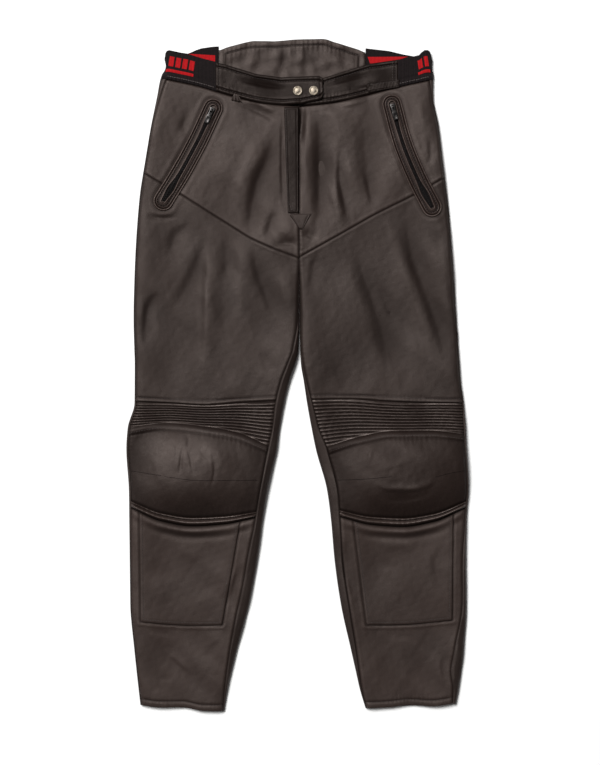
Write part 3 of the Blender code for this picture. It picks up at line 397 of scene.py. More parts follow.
# Fine dark seams sewn into the knee cups
DARTS = {
    "right": [[(-258, -149), (-236, -152), (-209, -156)], [(-205, -157), (-150, -163), (-60, -163)]],
    "left": [[(62, -163), (90, -162), (145, -157)], [(212, -158), (236, -152), (260, -148)]],
}
YOKE_FOLDS = rows_of(
    Crease,
    ([(-55, 511), (-58, 497), (-53, 479)], -0.9, 3.0),
    ([(-26, 513), (-21, 496), (-26, 472)], -0.9, 3.5),
    ([(-9, 516), (-12, 500), (-5, 479)], 0.8, 3.5),
    ([(9, 514), (13, 496), (7, 475)], -0.9, 3.5),
    ([(32, 513), (24, 496), (29, 475)], -0.8, 4.0),
    ([(-94, 500), (-89, 488), (-95, 479)], -0.8, 3.5),
    ([(60, 503), (74, 494), (84, 485)], -1.0, 3.5),
    ([(-74, 500), (-71, 488), (-72, 475)], 0.9, 5.0),
    ([(44, 503), (50, 493), (53, 479)], 0.9, 5.0),
)

# Folds in the back of a leg and of the seat, as the right half has them
BACK_FOLDS = rows_of(
    Crease,
    ([(-236, 168), (-190, 118), (-120, 104), (-50, 120)], 1.5, 9.0),  # under the seat
    ([(-30, 168), (-80, 128), (-150, 72), (-205, 50)], 1.1, 9.0),
    ([(-222, 20), (-210, -40), (-206, -110)], 1.2, 10.0),
    ([(-60, 60), (-90, 0), (-100, -96)], 1.0, 9.0),
    ([(-246, -122), (-190, -136), (-120, -132), (-62, -118)], 2.0, 5.5),  # behind the knee
    ([(-70, -148), (-120, -156), (-190, -148), (-236, -160)], 2.0, 5.0),
    ([(-240, -182), (-190, -176), (-120, -184), (-80, -198)], 1.7, 5.5),
    ([(-236, -214), (-180, -222), (-110, -214)], 1.2, 6.5),
    ([(-196, -250), (-184, -340), (-190, -450)], 1.0, 11.0),
    ([(-120, -270), (-138, -350), (-132, -440)], 0.8, 9.0),
    ([(-228, -478), (-180, -486), (-130, -478)], 0.7, 7.0),
    ([(-16, 420), (-70, 360), (-150, 320), (-220, 316)], 1.2, 10.0),  # across the seat
    ([(-20, 300), (-90, 262), (-170, 248), (-232, 262)], 1.3, 8.0),
    ([(-208, 440), (-196, 370), (-212, 290)], 0.9, 10.0),
    ([(-10, 236), (-60, 206), (-130, 200)], 1.3, 7.0),
)
BACK_FOLD_SWAY = 9.0   # how far the folds of the two halves stray from each other


def running_length(points):
    """How far along a line of points each of them lies."""
    return np.concatenate([[0.0], np.cumsum(np.linalg.norm(np.diff(points, axis=0), axis=1))])


def bend(t, span, first, first_slope, last, last_slope):
    """A smooth step from one value to the next, with a slope at each, t from 0 to 1."""
    start = (2 * t**3 - 3 * t**2 + 1) * first + (t**3 - 2 * t**2 + t) * span * first_slope
    end = (3 * t**2 - 2 * t**3) * last + (t**3 - t**2) * span * last_slope
    return start + end


def smooth(xs, values, x):
    """A smooth curve through the values that never swings past them, read at every x."""
    xs = np.asarray(xs, float)
    values = np.asarray(values, float)
    x = np.clip(x, xs[0], xs[-1])
    steps = np.diff(values) / np.diff(xs)
    slopes = np.zeros(len(xs))
    before, after = steps[:-1], steps[1:]
    same = before * after > 0.0
    slopes[1:-1][same] = 2.0 * before[same] * after[same] / (before[same] + after[same])
    slopes[0], slopes[-1] = steps[0], steps[-1]
    i = np.clip(np.searchsorted(xs, x) - 1, 0, len(xs) - 2)
    span = xs[i + 1] - xs[i]
    t = (x - xs[i]) / span
    return bend(t, span, values[i], slopes[i], values[i + 1], slopes[i + 1])


def along(table, name, y):
    rows = table[::-1]
    return smooth([row.y for row in rows], [getattr(row, name) for row in rows], y)


def edge_at(edge, x):
    points = sorted((point.x, point.y) for point in edge)
    return np.interp(x, [p[0] for p in points], [p[1] for p in points])


def ease(t):
    t = np.clip(t, 0.0, 1.0)
    return t * t * (3.0 - 2.0 * t)


def bump(distance, width):
    """A soft rise of height 1 around distance 0."""
    return np.exp(-((distance / width) ** 2))


def ridges(distance, rows):
    """Ridges and grooves side by side: each row is a height, how far in it lies and its width."""
    return sum(height * bump(distance - place, width) for height, place, width in rows)


def shoulder(distance):
    inward = np.clip(distance / SHOULDER_WIDTH, 0.0, 1.0)
    return (1.0 - (1.0 - inward) ** SHOULDER_POWER) ** (1.0 / SHOULDER_POWER)


def dome_height(dome, x, y):
    reach = np.abs((x - dome.x) / dome.half_width) ** DOME_SQUARENESS
    reach = reach + np.abs((y - dome.y) / dome.half_length) ** DOME_SQUARENESS
    return dome.height * np.maximum(0.0, 1.0 - reach) ** DOME_FOOT


def front_height(half, x, y):
    """The height of the smooth front over (x, y)."""
    from_outer = half.sign * (along(half.outline, "outer", y) - x)
    from_inner = half.sign * (x - along(half.outline, "inner", y))
    apart = ease((CROTCH_Y - y) / SOFT_PARTING)
    fold = along(LAY, "fold", y)
    rounding = shoulder(from_outer) * (1.0 - apart * (1.0 - shoulder(from_inner)))
    hollow = ease((from_outer - HOLLOW_START) / HOLLOW_REACH)
    hollow = hollow * (1.0 - apart * (1.0 - ease((from_inner - HOLLOW_START) / HOLLOW_REACH)))
    height = fold + (along(LAY, "shoulder", y) - fold) * rounding - along(LAY, "sag", y) * hollow
    return height + dome_height(half.dome, x, y)


def line_through(path, count=15):
    """Points along a smooth curve through a crease's path."""
    points = np.array(path, float)
    stops = running_length(points)
    s = np.linspace(0.0, stops[-1], count)
    return np.stack([smooth(stops, points[:, 0], s), smooth(stops, points[:, 1], s)], axis=1)


CREASE_END = 0.42      # the share of a crease's length over which it dies away
CREASE_LEAN = 0.35     # one flank is this much steeper than the other
CREASE_SOFTNESS = 1.65
CREASE_DEPTH = 1.25
LONG_CREASE = 75.0     # a shorter one is shallower


def crease_relief(creases, x, y, mirror=1.0):
    """The height that the creases add at (x, y)."""
    relief = np.zeros(x.shape)
    for crease in creases:
        line = line_through(crease.path) * (mirror, 1.0)
        length = running_length(line)[-1]
        depth = CREASE_DEPTH * crease.height * min(1.0, length / LONG_CREASE)
        reach = 4.5 * crease.width
        low, high = line.min(axis=0) - reach, line.max(axis=0) + reach
        near = (x > low[0]) & (x < high[0]) & (y > low[1]) & (y < high[1])
        if not near.any():
            continue
        px, py = x[near], y[near]
        best = np.full(px.shape, np.inf)
        place = np.zeros(px.shape)
        side = np.zeros(px.shape)
        for k, (a, b) in enumerate(zip(line[:-1], line[1:])):
            run = b - a
            t = np.clip(((px - a[0]) * run[0] + (py - a[1]) * run[1]) / (run @ run), 0.0, 1.0)
            dx = px - a[0] - t * run[0]
            dy = py - a[1] - t * run[1]
            squared = dx**2 + dy**2
            closer = squared < best
            best = np.where(closer, squared, best)
            place = np.where(closer, (k + t) / (len(line) - 1), place)
            side = np.where(closer, np.sign(run[0] * dy - run[1] * dx), side)
        q = np.sqrt(best) / (CREASE_SOFTNESS * crease.width * (1.0 + CREASE_LEAN * side))
        taper = ease(np.minimum(place, 1.0 - place) / CREASE_END)
        relief[near] += depth * taper * np.exp(-q * q)
    return relief


def waves(x, y, seed, lengths, height):
    """Uneven swells of about this height, the same each run."""
    rng = np.random.default_rng(seed)
    total = np.zeros(np.shape(x))
    for length in lengths:
        for _ in range(4):
            turn, phase = rng.uniform(0.0, 2.0 * math.pi, 2)
            total += np.sin(2.0 * math.pi * (x * math.cos(turn) + y * math.sin(turn)) / length + phase)
    return height * total / math.sqrt(2.0 * len(lengths))


def slider_place(half):
    return beside(half.zip, SLIDER_PLACE / path_length(half.zip), 0.0)


# Unevenness of the front: seed, lengths of the swells and their height
FRONT_SWELLS = [(11, [42.0, 66.0, 97.0], 0.42), (8, [140.0, 190.0], 0.7), (5, [11.0, 17.0, 23.0], 0.07)]
CALM_CORE = 26.0       # around a slider and its pull the front keeps its smooth height
CALM_REACH = 22.0
CALM_BELOW = 8.0       # the calm area's middle lies this far below the slider


def relief_at(half, x, y):
    """Folds and unevenness of the front, fading out under the zip's slider and pull."""
    relief = crease_relief(FOLDS[half.name], x, y)
    for swell in FRONT_SWELLS:
        relief = relief + waves(x, y, *swell)
    spot = slider_place(half)
    away = np.hypot(x - spot[0], y - spot[1] + CALM_BELOW)
    return relief * ease((away - CALM_CORE) / CALM_REACH)


def surface(half, x, y):
    return front_height(half, x, y) + relief_at(half, x, y)


def seam_level(half, seam, across):
    return smooth(SEAM_STEPS, half.seams[seam], across)


def seam_x(half, y, across):
    """x at height y, a part of the way from the outer seam to the inner one."""
    outer = along(half.outline, "outer", y) - half.sign * along(half.outline, "seam_out", y)
    inner = along(half.outline, "inner", y) + half.sign * along(half.outline, "seam_in", y)
    return outer + across * (inner - outer)


def path_points(path):
    return np.array([[p.x, p.y] for p in path])


def path_length(path):
    return float(running_length(path_points(path))[-1])


def path_at(path, t):
    """A point of a smooth curve through the path's places, and its direction, t from 0 to 1."""
    points = path_points(path)
    stops = running_length(points)
    tangents = np.gradient(points, stops, axis=0)
    s = np.clip(t, 0.0, 1.0) * stops[-1]
    i = min(int(np.searchsorted(stops, s, side="right")) - 1, len(points) - 2)
    h = stops[i + 1] - stops[i]
    q = (s - stops[i]) / h
    spot = bend(q, h, points[i], tangents[i], points[i + 1], tangents[i + 1])
    near_end = abs(2 * q - 1)
    direction = (points[i + 1] - points[i]) * (1 - near_end)
    direction = direction + tangents[i if q < 0.5 else i + 1] * near_end * h
    return spot, direction / np.linalg.norm(direction)


def beside(path, t, aside):
    """A place beside the path at t, t running past its ends in a straight line."""
    spot, direction = path_at(path, t)
    beyond = (t - np.clip(t, 0.0, 1.0)) * path_length(path)
    square = np.array([-direction[1], direction[0]])
    return spot + beyond * direction + aside * square


def back_waist_y(half, x):
    """The height of the seam between the seat and what is above it."""
    side = seam_level(half, "waist", 0.0)
    edge = along(half.outline, "outer", side) - half.sign * UNDERSIDE_ROUND
    return side + (BACK_WAIST_Y - side) * (edge - x) / (edge - CENTRE_X)


def waist_seam_y(half, x):
    """The height of the waist seam at x."""
    y = np.full(np.shape(x), 440.0)
    for _ in range(6):
        outer = seam_x(half, y, 0.0)
        inner = seam_x(half, y, 1.0)
        y = seam_level(half, "waist", np.clip((x - outer) / (inner - outer), 0.0, 1.0))
    return y


def shin_top_y(half, x):
    outer = seam_x(half, SHIN_SEAM_Y, 0.0)
    inner = seam_x(half, SHIN_SEAM_Y, 1.0)
    return seam_level(half, "shin_top", (x - outer) / (inner - outer))


def seat_bottom(half):
    top = seam_level(half, "hip", 0.0)
    return top + (seam_level(half, "thigh", 0.0) - top) / 3.0


def feed(node, **values):
    """Set a node's inputs by name, each to a value or to another node's output."""
    for name, value in values.items():
        socket = node.inputs[name.replace("_", " ")]
        if isinstance(value, bpy.types.NodeSocket):
            node.id_data.links.new(value, socket)
        else:
            socket.default_value = value


def add(tree, kind, **values):
    made = tree.nodes.new(kind)
    feed(made, **values)
    return made


def mix_colours(tree, share, low, high):
    """One colour between two, each a colour or another node's output."""
    mix = tree.nodes.new("ShaderNodeMix")
    mix.data_type = "RGBA"
    tree.links.new(share, mix.inputs[0])
    for socket, colour in ((mix.inputs[6], low), (mix.inputs[7], high)):
        if isinstance(colour, tuple):
            socket.default_value = (*colour, 1.0)
        else:
            tree.links.new(colour, socket)
    return mix.outputs[2]


def remap(tree, value, low, high, to_low, to_high):
    limits = {"From_Min": low, "From_Max": high, "To_Min": to_low, "To_Max": to_high}
    return add(tree, "ShaderNodeMapRange", Value=value, **limits).outputs["Result"]


def combine(tree, operation, first, second):
    node = tree.nodes.new("ShaderNodeMath")
    node.operation = operation
    for socket, value in zip(node.inputs, (first, second)):
        if isinstance(value, float):
            socket.default_value = value
        else:
            tree.links.new(value, socket)
    return node.outputs[0]


def noise(tree, place, scale, detail=3.0, roughness=0.6):
    fineness = {"Scale": scale, "Detail": detail, "Roughness": roughness}
    return add(tree, "ShaderNodeTexNoise", Vector=place, **fineness).outputs["Fac"]


def wave(tree, place, scale, distortion, direction="X", **values):
    node = add(tree, "ShaderNodeTexWave", Vector=place, Scale=scale, Distortion=distortion, **values)
    node.bands_direction = direction
    return node.outputs["Fac"]


def raised(tree, height, strength, distance, **under):
    node = add(tree, "ShaderNodeBump", Height=height, Strength=strength, Distance=distance, **under)
    return node.outputs["Normal"]


def new_material(name):
    made = bpy.data.materials.new(name)
    made.use_nodes = True
    tree = made.node_tree
    place = tree.nodes.new("ShaderNodeTexCoord").outputs["Object"]
    return made, tree, tree.nodes["Principled BSDF"], place


def dress(shader, share, low, high, height, strength, distance, **values):
    """Colour a surface between two colours and give it a fine relief."""
    colour = mix_colours(shader.id_data, share, low, high)
    relief = raised(shader.id_data, height, strength, distance)
    feed(shader, Base_Color=colour, Normal=relief, **values)


def pebbled(tree, place, cell):
    """Leather grain: raised cells of this size in metres, parted by fine grooves."""
    drift = add(tree, "ShaderNodeTexNoise", Vector=place, Scale=0.35 / cell, Detail=2.0)
    drifted = tree.nodes.new("ShaderNodeVectorMath")
    drifted.operation = "MULTIPLY_ADD"
    tree.links.new(drift.outputs["Color"], drifted.inputs[0])
    drifted.inputs[1].default_value = (cell, cell, cell)
    tree.links.new(place, drifted.inputs[2])
    cells = tree.nodes.new("ShaderNodeTexVoronoi")
    cells.feature = "DISTANCE_TO_EDGE"
    feed(cells, Vector=drifted.outputs[0], Scale=1.0 / cell)
    return remap(tree, cells.outputs["Distance"], 0.0, 0.16, 0.0, 1.0)


DARK_LEATHER = (0.0125, 0.0066, 0.0051)
BROWN_LEATHER = (0.0270, 0.0145, 0.0113)
# Pale leather for wear on edges and for painted highlight on ridges and rolls
WORN_AND_HIGHLIGHT_LEATHER = (0.058, 0.041, 0.035)
# Near-black for painted shade in creases, grooves and hollows, for dark seam lines and for the grain's
# grooves
SHADE_SEAM_AND_GRAIN_DARK = (0.0044, 0.0024, 0.0019)
LEATHER_SHINE = (1.0, 0.84, 0.77)


def leather(name, lift=1.0, roughness=0.58, cell=0.0016, grain=0.4, wrinkles=0.2, shine=0.42):
    """Grained leather: pale where its tone is high, from wear and painted highlight, and dark where it is
    low, from painted shade and dark seam lines.
    """
    made, tree, shader, place = new_material(name)
    colours = (DARK_LEATHER, BROWN_LEATHER, WORN_AND_HIGHLIGHT_LEATHER)
    # worn is the pale colour of both wear and painted highlight
    dark, brown, worn = (tuple(lift * value for value in colour) for colour in colours)
    broad = noise(tree, place, 11.0, 4.0, 0.55)
    fine = noise(tree, place, 330.0, 4.0, 0.62)
    blotches = remap(tree, combine(tree, "ADD", broad, fine), 0.6, 1.4, 0.0, 1.0)
    tone = tree.nodes.new("ShaderNodeAttribute")
    tone.attribute_name = "tone"
    # Where the tone is high the leather is painted pale: wear on edges and painted highlight on ridges and
    # rolls.
    wear_and_highlight = remap(tree, combine(tree, "MULTIPLY", tone.outputs["Fac"], fine), 0.0, 0.6, 0.0, 1.0)
    # Where the tone is low it is painted dark: painted shade in creases, grooves and hollows, and dark seam
    # lines; there it is also rougher and less glossy.
    sunk = remap(tree, tone.outputs["Fac"], 0.0, -1.0, 0.0, 0.92)
    pebbles = pebbled(tree, place, cell)
    grooves = remap(tree, pebbles, 0.0, 1.0, 0.45, 0.0)
    body = mix_colours(tree, wear_and_highlight, mix_colours(tree, blotches, dark, brown), worn)
    body = mix_colours(tree, grooves, mix_colours(tree, sunk, body, SHADE_SEAM_AND_GRAIN_DARK), SHADE_SEAM_AND_GRAIN_DARK)
    rough = remap(tree, blotches, 0.0, 1.0, roughness - 0.07, roughness + 0.09)
    rough = combine(tree, "SUBTRACT", rough, combine(tree, "MULTIPLY", wear_and_highlight, 0.10))
    rough = combine(tree, "ADD", rough, combine(tree, "MULTIPLY", sunk, 0.22))
    normal = raised(tree, noise(tree, place, 210.0, 6.0, 0.62), wrinkles, 0.0009)
    pores = combine(tree, "MULTIPLY", noise(tree, place, 1900.0, 2.0, 0.5), 0.35)
    normal = raised(tree, combine(tree, "ADD", pores, pebbles), grain, 0.00022, Normal=normal)
    gloss = remap(tree, sunk, 0.0, 1.0, shine, 0.4 * shine)
    feed(shader, Base_Color=body, Roughness=rough, Normal=normal)
    feed(shader, Specular_Tint=(*LEATHER_SHINE, 1.0), Specular_IOR_Level=gloss)
    return made


KNIT_PITCH = 0.0021    # metres


def knitted(name, low, high):
    """A rib-knit elastic, its ribs running from waist to hem."""
    made, tree, shader, place = new_material(name)
    ribs = wave(tree, place, 0.314 / KNIT_PITCH, 0.6, Detail=2.0, Detail_Scale=40.0)
    rows = wave(tree, place, 0.314 / (0.7 * KNIT_PITCH), 0.8, "Y", Detail=1.0)
    height = combine(tree, "ADD", ribs, combine(tree, "MULTIPLY", rows, 0.5))
    share = combine(tree, "MULTIPLY", height, noise(tree, place, 420.0))
    dress(shader, share, low, high, height, 0.6, 0.0004, Roughness=0.88)
    feed(shader, Sheen_Weight=0.03, Sheen_Roughness=0.5, Specular_IOR_Level=0.14)
    return made


def cast_metal(name, low, high, roughness):
    """Brushed and handled metal, darker in its hollows."""
    made, tree, shader, place = new_material(name)
    stain = noise(tree, place, 260.0, 5.0, 0.65)
    rough = remap(tree, noise(tree, place, 1400.0), 0.3, 0.7, roughness - 0.1, roughness + 0.15)
    share = remap(tree, stain, 0.35, 0.65, 0.0, 1.0)
    dress(shader, share, low, high, stain, 0.3, 0.0003, Roughness=rough, Metallic=1.0)
    return made


def thread(name, low, high, shine=0.5):
    made, tree, shader, place = new_material(name)
    twist = wave(tree, place, 900.0, 1.0, "DIAGONAL")
    dress(shader, twist, low, high, twist, 0.5, 0.0002, Roughness=0.6, Specular_IOR_Level=shine)
    return made


def tape(name, low, high):
    """Woven zip tape."""
    made, tree, shader, place = new_material(name)
    weave = add(tree, "ShaderNodeTexChecker", Vector=place, Scale=1400.0).outputs["Fac"]
    share = combine(tree, "MULTIPLY", weave, noise(tree, place, 300.0))
    dress(shader, share, low, high, weave, 0.4, 0.0002, Roughness=0.8, Specular_IOR_Level=0.1)
    return made


FINE_GRAIN = {"cell": 0.0013, "grain": 0.3}
LEATHER = leather("black_brown_leather", lift=0.50, roughness=0.56)
HIP_LEATHER = leather("hip_leather", lift=0.60, roughness=0.54, shine=0.45)
# The left knee's leather is a darker, duller copy of the right knee's: painted shade on the left knee.
KNEE_LEATHERS = {
    "right": leather("knee_leather_right", lift=0.62, roughness=0.52, shine=0.42, **FINE_GRAIN),
    "left": leather("knee_leather_left", lift=0.55, roughness=0.52, shine=0.29, **FINE_GRAIN),
}
SHIN_LEATHER = leather("shin_leather", lift=0.78, wrinkles=0.15, shine=0.48)
PATCH_LEATHER = leather("patch_leather", lift=0.74, wrinkles=0.12, shine=0.48)
# Paler and glossier than the other leathers: painted highlight on the rolls under the knee.
ROLL_LEATHER = leather("roll_leather", lift=0.7, roughness=0.48, wrinkles=0.1, shine=0.6, **FINE_GRAIN)
RIB_LEATHER = leather(
    "ribbed_stretch_leather", lift=0.55, roughness=0.46, cell=0.0012, grain=0.3, wrinkles=0.1, shine=0.55,
)
INSIDE_LEATHER = leather("inside_leather", lift=0.56, roughness=0.5, wrinkles=0.35, shine=0.40)
TRIM_LEATHER = leather("trim_leather", lift=0.24, roughness=0.46, shine=0.17)
# Paler leather, so the painted highlights on the pocket frame's ridges are bright.
WELT_LEATHER = leather("welt_leather", lift=0.95, roughness=0.46, wrinkles=0.1, shine=0.4)
BLACK_KNIT = knitted("black_elastic", (0.0010, 0.0006, 0.0006), (0.0190, 0.0125, 0.0130))
RED_KNIT = knitted("red_elastic", (0.20, 0.0035, 0.0045), (0.60, 0.010, 0.014))
ZIP_TAPE = tape("zip_tape", (0.002, 0.0015, 0.0015), (0.009, 0.007, 0.007))
ZIP_METAL = cast_metal("blackened_metal", (0.006, 0.005, 0.005), (0.018, 0.016, 0.016), 0.5)
PULL_METAL = cast_metal("dark_nickel", (0.018, 0.017, 0.017), (0.060, 0.056, 0.054), 0.34)
SNAP_METAL = cast_metal("old_brass", (0.11, 0.088, 0.062), (0.36, 0.31, 0.25), 0.46)
DARK_THREAD = thread("brown_thread", (0.012, 0.009, 0.009), (0.065, 0.050, 0.046))
DART_THREAD = thread("dark_thread", (0.002, 0.001, 0.001), (0.006, 0.004, 0.004), shine=0.05)
PALE_THREAD = thread("worn_thread", (0.05, 0.042, 0.04), (0.20, 0.17, 0.16))


def attach(piece, nodes=(), body="trousers"):
    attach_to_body(piece, body)
    if nodes:
        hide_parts(*nodes)
    return piece


def primitive(add_it, **values):
    """A new plain shape, with its place, turn and size in its mesh."""
    bpy.ops.object.select_all(action="DESELECT")
    add_it(**values)
    bpy.ops.object.transform_apply(location=True, rotation=True, scale=True)
    return bpy.context.object


def triples(items, name):
    """A value of each corner or face, as rows of x, y and z."""
    flat = np.empty(len(items) * 3)
    items.foreach_get(name, flat)
    return flat.reshape(-1, 3)


def unit_grid(columns, rows):
    """A flat sheet of columns by rows cells, and each corner's share across and down."""
    cells = {"x_subdivisions": columns, "y_subdivisions": rows}
    sheet = primitive(bpy.ops.mesh.primitive_grid_add, size=1.0, **cells)
    flat = triples(sheet.data.vertices, "co")
    return sheet, np.round(flat[:, 0] + 0.5, 6), np.round(0.5 - flat[:, 1], 6)


def set_tone(mesh, tone):
    """How pale the surface is painted (1: wear and painted highlight) or how dark (-1: painted shade in
    creases and grooves, and dark seam lines).
    """
    stored = mesh.attributes.new("tone", "FLOAT", "POINT")
    stored.data.foreach_set("value", np.clip(tone, -1.0, 1.0).astype(np.float32))


def cloth(name, shape, columns, rows, finish, slot, nodes=(), wall=WALL, up=1.0, ring=False):
    """A sewn piece: a flat sheet laid into its shape and given its thickness.

    shape(across, down) gives the outer face in millimetres, and its tone.
    """
    piece, across, down = unit_grid(columns, rows)
    piece.name = name
    mesh = piece.data
    mesh.name = name
    places, tone = shape(across, down)
    places = np.asarray(places, float)
    mesh.vertices.foreach_set("co", (places * MM).ravel())
    set_tone(mesh, tone)
    mesh.update()
    if faces_inwards(mesh, up):
        mesh.flip_normals()
    if ring:
        bpy.ops.object.mode_set(mode="EDIT")
        bpy.ops.mesh.select_all(action="SELECT")
        bpy.ops.mesh.remove_doubles(threshold=0.00002)
        bpy.ops.object.mode_set(mode="OBJECT")
    finish_with(piece, "SOLIDIFY", thickness=wall * MM, offset=-1.0)
    keep_on_ground(mesh)
    mesh.materials.append(finish)
    bpy.ops.object.shade_smooth_by_angle(angle=math.radians(SMOOTH_CLOTH))
    attach(piece, nodes)
    return piece


def faces_inwards(mesh, up):
    """Whether the faces look away from up, or, on a piece that wraps a fold, towards its inside."""
    rise = triples(mesh.polygons, "normal")[:, 2]
    level = triples(mesh.polygons, "center")[:, 2]
    return (rise * (up if up else level - level.mean())).sum() < 0.0


def keep_on_ground(mesh):
    places = triples(mesh.vertices, "co")
    places[:, 2] = np.maximum(places[:, 2], 0.0)
    mesh.vertices.foreach_set("co", places.ravel())
    mesh.update()


# Ridges and grooves beside edges: height in millimetres, how far in, width. The tables named TONE
# say instead how pale (to 1) or how dark (to -1) the leather is painted there: wear and painted
# highlight along ridges and rolls, painted shade in grooves and hollows, and dark seam lines.
SEAM_RELIEF = [(0.30, 4.2, 2.2), (-1.0, 0.0, 1.15)]
SEAM_TONE = [(0.16, 3.4, 1.8), (-0.55, 0.0, 0.9)]
BED_RELIEF = [(0.35, 6.0, 3.5), (-0.5, 1.2, 1.6)]
BED_TONE = [(0.1, 5.0, 2.0), (-0.4, 0.8, 1.0)]
# Painted highlight on a fold's ridge and painted shade in its trough:
FOLD_PAINTED_SHADING = 0.08       # for each millimetre that a fold rises or sinks


def seam_dip(distance):
    """The turned edge beside a seam: down at the seam, slightly proud behind it."""
    return ridges(distance, SEAM_RELIEF)


def pucker(distance, run, pitch=6.5, height=0.16, reach=5.0):
    """Small gathers that the stitching draws up beside a seam."""
    swell = 0.6 + 0.4 * np.sin(run / 23.0)
    return height * swell * np.sin(2.0 * math.pi * run / pitch + np.sin(run / 9.0)) * bump(distance, reach)


Edges = namedtuple("Edges", "x y top bottom outer inner across down span")


def front_shape(half, top_seam, bottom_seam, relief):
    """The shape of a front panel between two seams across the leg."""
    def shape(across, down):
        top = seam_level(half, top_seam, across) - SEAM_GAP / 2
        bottom = seam_level(half, bottom_seam, across) + SEAM_GAP / 2
        y = top + down * (bottom - top)
        x = seam_x(half, y, across)
        outer = np.abs(x - seam_x(half, y, 0.0))
        inner = np.abs(x - seam_x(half, y, 1.0))
        edges = Edges(x, y, top - y, y - bottom, outer, inner, across, down, top - bottom)
        folds = relief_at(half, x, y)
        extra, tone = relief(half, edges)
        places = np.stack([x, y, front_height(half, x, y) + folds + extra], axis=1)
        # Folds add painted highlight on their ridges and painted shade in their troughs.
        return places, tone + FOLD_PAINTED_SHADING * folds
    return shape


def sewn_sides(edges):
    return (
        seam_dip(edges.outer) + seam_dip(edges.inner)
        + pucker(edges.outer, edges.y) + pucker(edges.inner, edges.y)
    )


def seam_tone(*distances):
    """Rubbed a little behind each seam, dark in it."""
    return sum(ridges(distance, SEAM_TONE) for distance in distances)


def welt_distance(half, x, y):
    """How far (x, y) is from the pocket zip's line."""
    line = np.array([beside(half.zip, t, 0.0) for t in np.linspace(0.0, 1.0, 40)])
    return np.sqrt(((x[:, None] - line[:, 0]) ** 2 + (y[:, None] - line[:, 1]) ** 2).min(axis=1))


def welt_bed(from_welt):
    """The front sinks under the pocket's frame and is drawn up round it."""
    return ridges(from_welt, BED_RELIEF) - 0.8 * ease(-from_welt / 2.0)


WAIST_TUCK = 2.0       # how far the hip sinks as it goes under the waistband
WAIST_TUCK_REACH = 9.0


def hip_relief(half, edges):
    from_welt = welt_distance(half, edges.x, edges.y) - WELT_HALF_WIDTH
    extra = sewn_sides(edges) + seam_dip(edges.top) + seam_dip(edges.bottom)
    extra = extra + pucker(edges.bottom, edges.x) + welt_bed(from_welt)
    extra = extra - WAIST_TUCK * ease(1.0 - edges.top / WAIST_TUCK_REACH) + 0.7 * bump(edges.top - 2.2, 1.4)
    # Painted highlight on the ridge under the waist seam and round the pocket's frame, painted shade where
    # the front sinks under the frame.
    tone = seam_tone(edges.top, edges.bottom, edges.outer, edges.inner) + ridges(from_welt, BED_TONE)
    return extra, tone + 0.45 * bump(edges.top - 1.8, 1.2)


THIGH_STITCH = 7.0
THIGH_ROLL = [(1.7, 3.4, 2.8), (-0.8, 7.4, 1.2), (-1.6, 0.0, 1.0)]
# Painted highlight along the roll and painted shade in its stitched groove
THIGH_ROLL_TONE = [(0.45, 4.4, 1.6), (-0.7, 7.4, 1.1)]


def thigh_relief(half, edges):
    """The thigh ends, at its bottom, in a raised, topstitched roll."""
    from_welt = welt_distance(half, edges.x, edges.y) - WELT_HALF_WIDTH
    extra = sewn_sides(edges) + seam_dip(edges.top) + pucker(edges.top, edges.x)
    extra = extra + ridges(edges.bottom, THIGH_ROLL) + pucker(edges.bottom - THIGH_STITCH, edges.x)
    extra = extra + welt_bed(from_welt)
    tone = seam_tone(edges.top, edges.outer, edges.inner) + ridges(from_welt, BED_TONE)
    return extra, tone + ridges(edges.bottom, THIGH_ROLL_TONE)


RIB_PITCH = 4.6
RIB_HEIGHT = 2.2


def rib_relief(half, edges):
    """Ribs that run across the leg and fan out towards its inner side."""
    pitch = RIB_PITCH * np.sqrt(edges.span / 46.0)
    phase = edges.top / pitch + 0.25 * np.sin(edges.x / 31.0)
    wave = np.abs(np.sin(math.pi * phase)) ** 1.1
    fade = ease(edges.top / 3.0) * ease(edges.bottom / 3.0)
    extra = RIB_HEIGHT * (wave - 1.0) * fade - 1.6 * bump(edges.top, 3.0) - 1.0 * bump(edges.bottom, 2.5)
    extra = extra + seam_dip(edges.outer) + seam_dip(edges.inner)
    # Painted highlight on each rib's crest and painted shade in its valleys, the whole panel painted darker
    # and darkest at its seams.
    tone = 1.55 * wave - 1.05 * fade - 0.5 * bump(edges.top, 3.0) - 0.3 * bump(edges.bottom, 3.0)
    return extra, tone


KNEE_STITCH = 7.4
KNEE_EDGE_ROLL = [(1.9, 5.4, 4.2), (-0.7, 11.4, 1.5), (-1.2, 0.0, 1.0)]
# Painted highlight along the edge roll and painted shade in its groove
KNEE_EDGE_TONE = [(0.55, 8.2, 1.2), (-0.45, 11.2, 1.5)]
KNEE_FLANK_PAINTED_SHADE = 0.55


def knee_relief(half, edges):
    """A padded cup with a rolled edge along its top."""
    extra = sewn_sides(edges) + ridges(edges.top, KNEE_EDGE_ROLL) - 1.2 * bump(edges.bottom, 2.2)
    extra = extra + pucker(edges.top - 12.0, edges.x, 7.0, 0.25)
    extra = extra + pucker(edges.bottom - 4.0, edges.x, 8.0, 0.22, 8.0)
    tone = seam_tone(edges.outer, edges.inner) + ridges(edges.top, KNEE_EDGE_TONE)
    # Painted shade along the bottom seam under the cup.
    tone = tone - 0.7 * bump(edges.bottom, 2.5)
    dome = dome_height(half.dome, edges.x, edges.y) / half.dome.height
    # Painted light towards the dome's top and painted shade on its flanks.
    return extra, tone + 0.08 * dome - KNEE_FLANK_PAINTED_SHADE * (1.0 - dome) ** 2


# These lie at a share of the way down the piece
ROLLS = [(2.2, 0.14, 0.10), (4.2, 0.60, 0.23)]
ROLL_GROOVES = [(-0.8, 0.3, 0.08), (-1.2, 0.0, 0.05), (-2.4, 1.0, 0.11)]
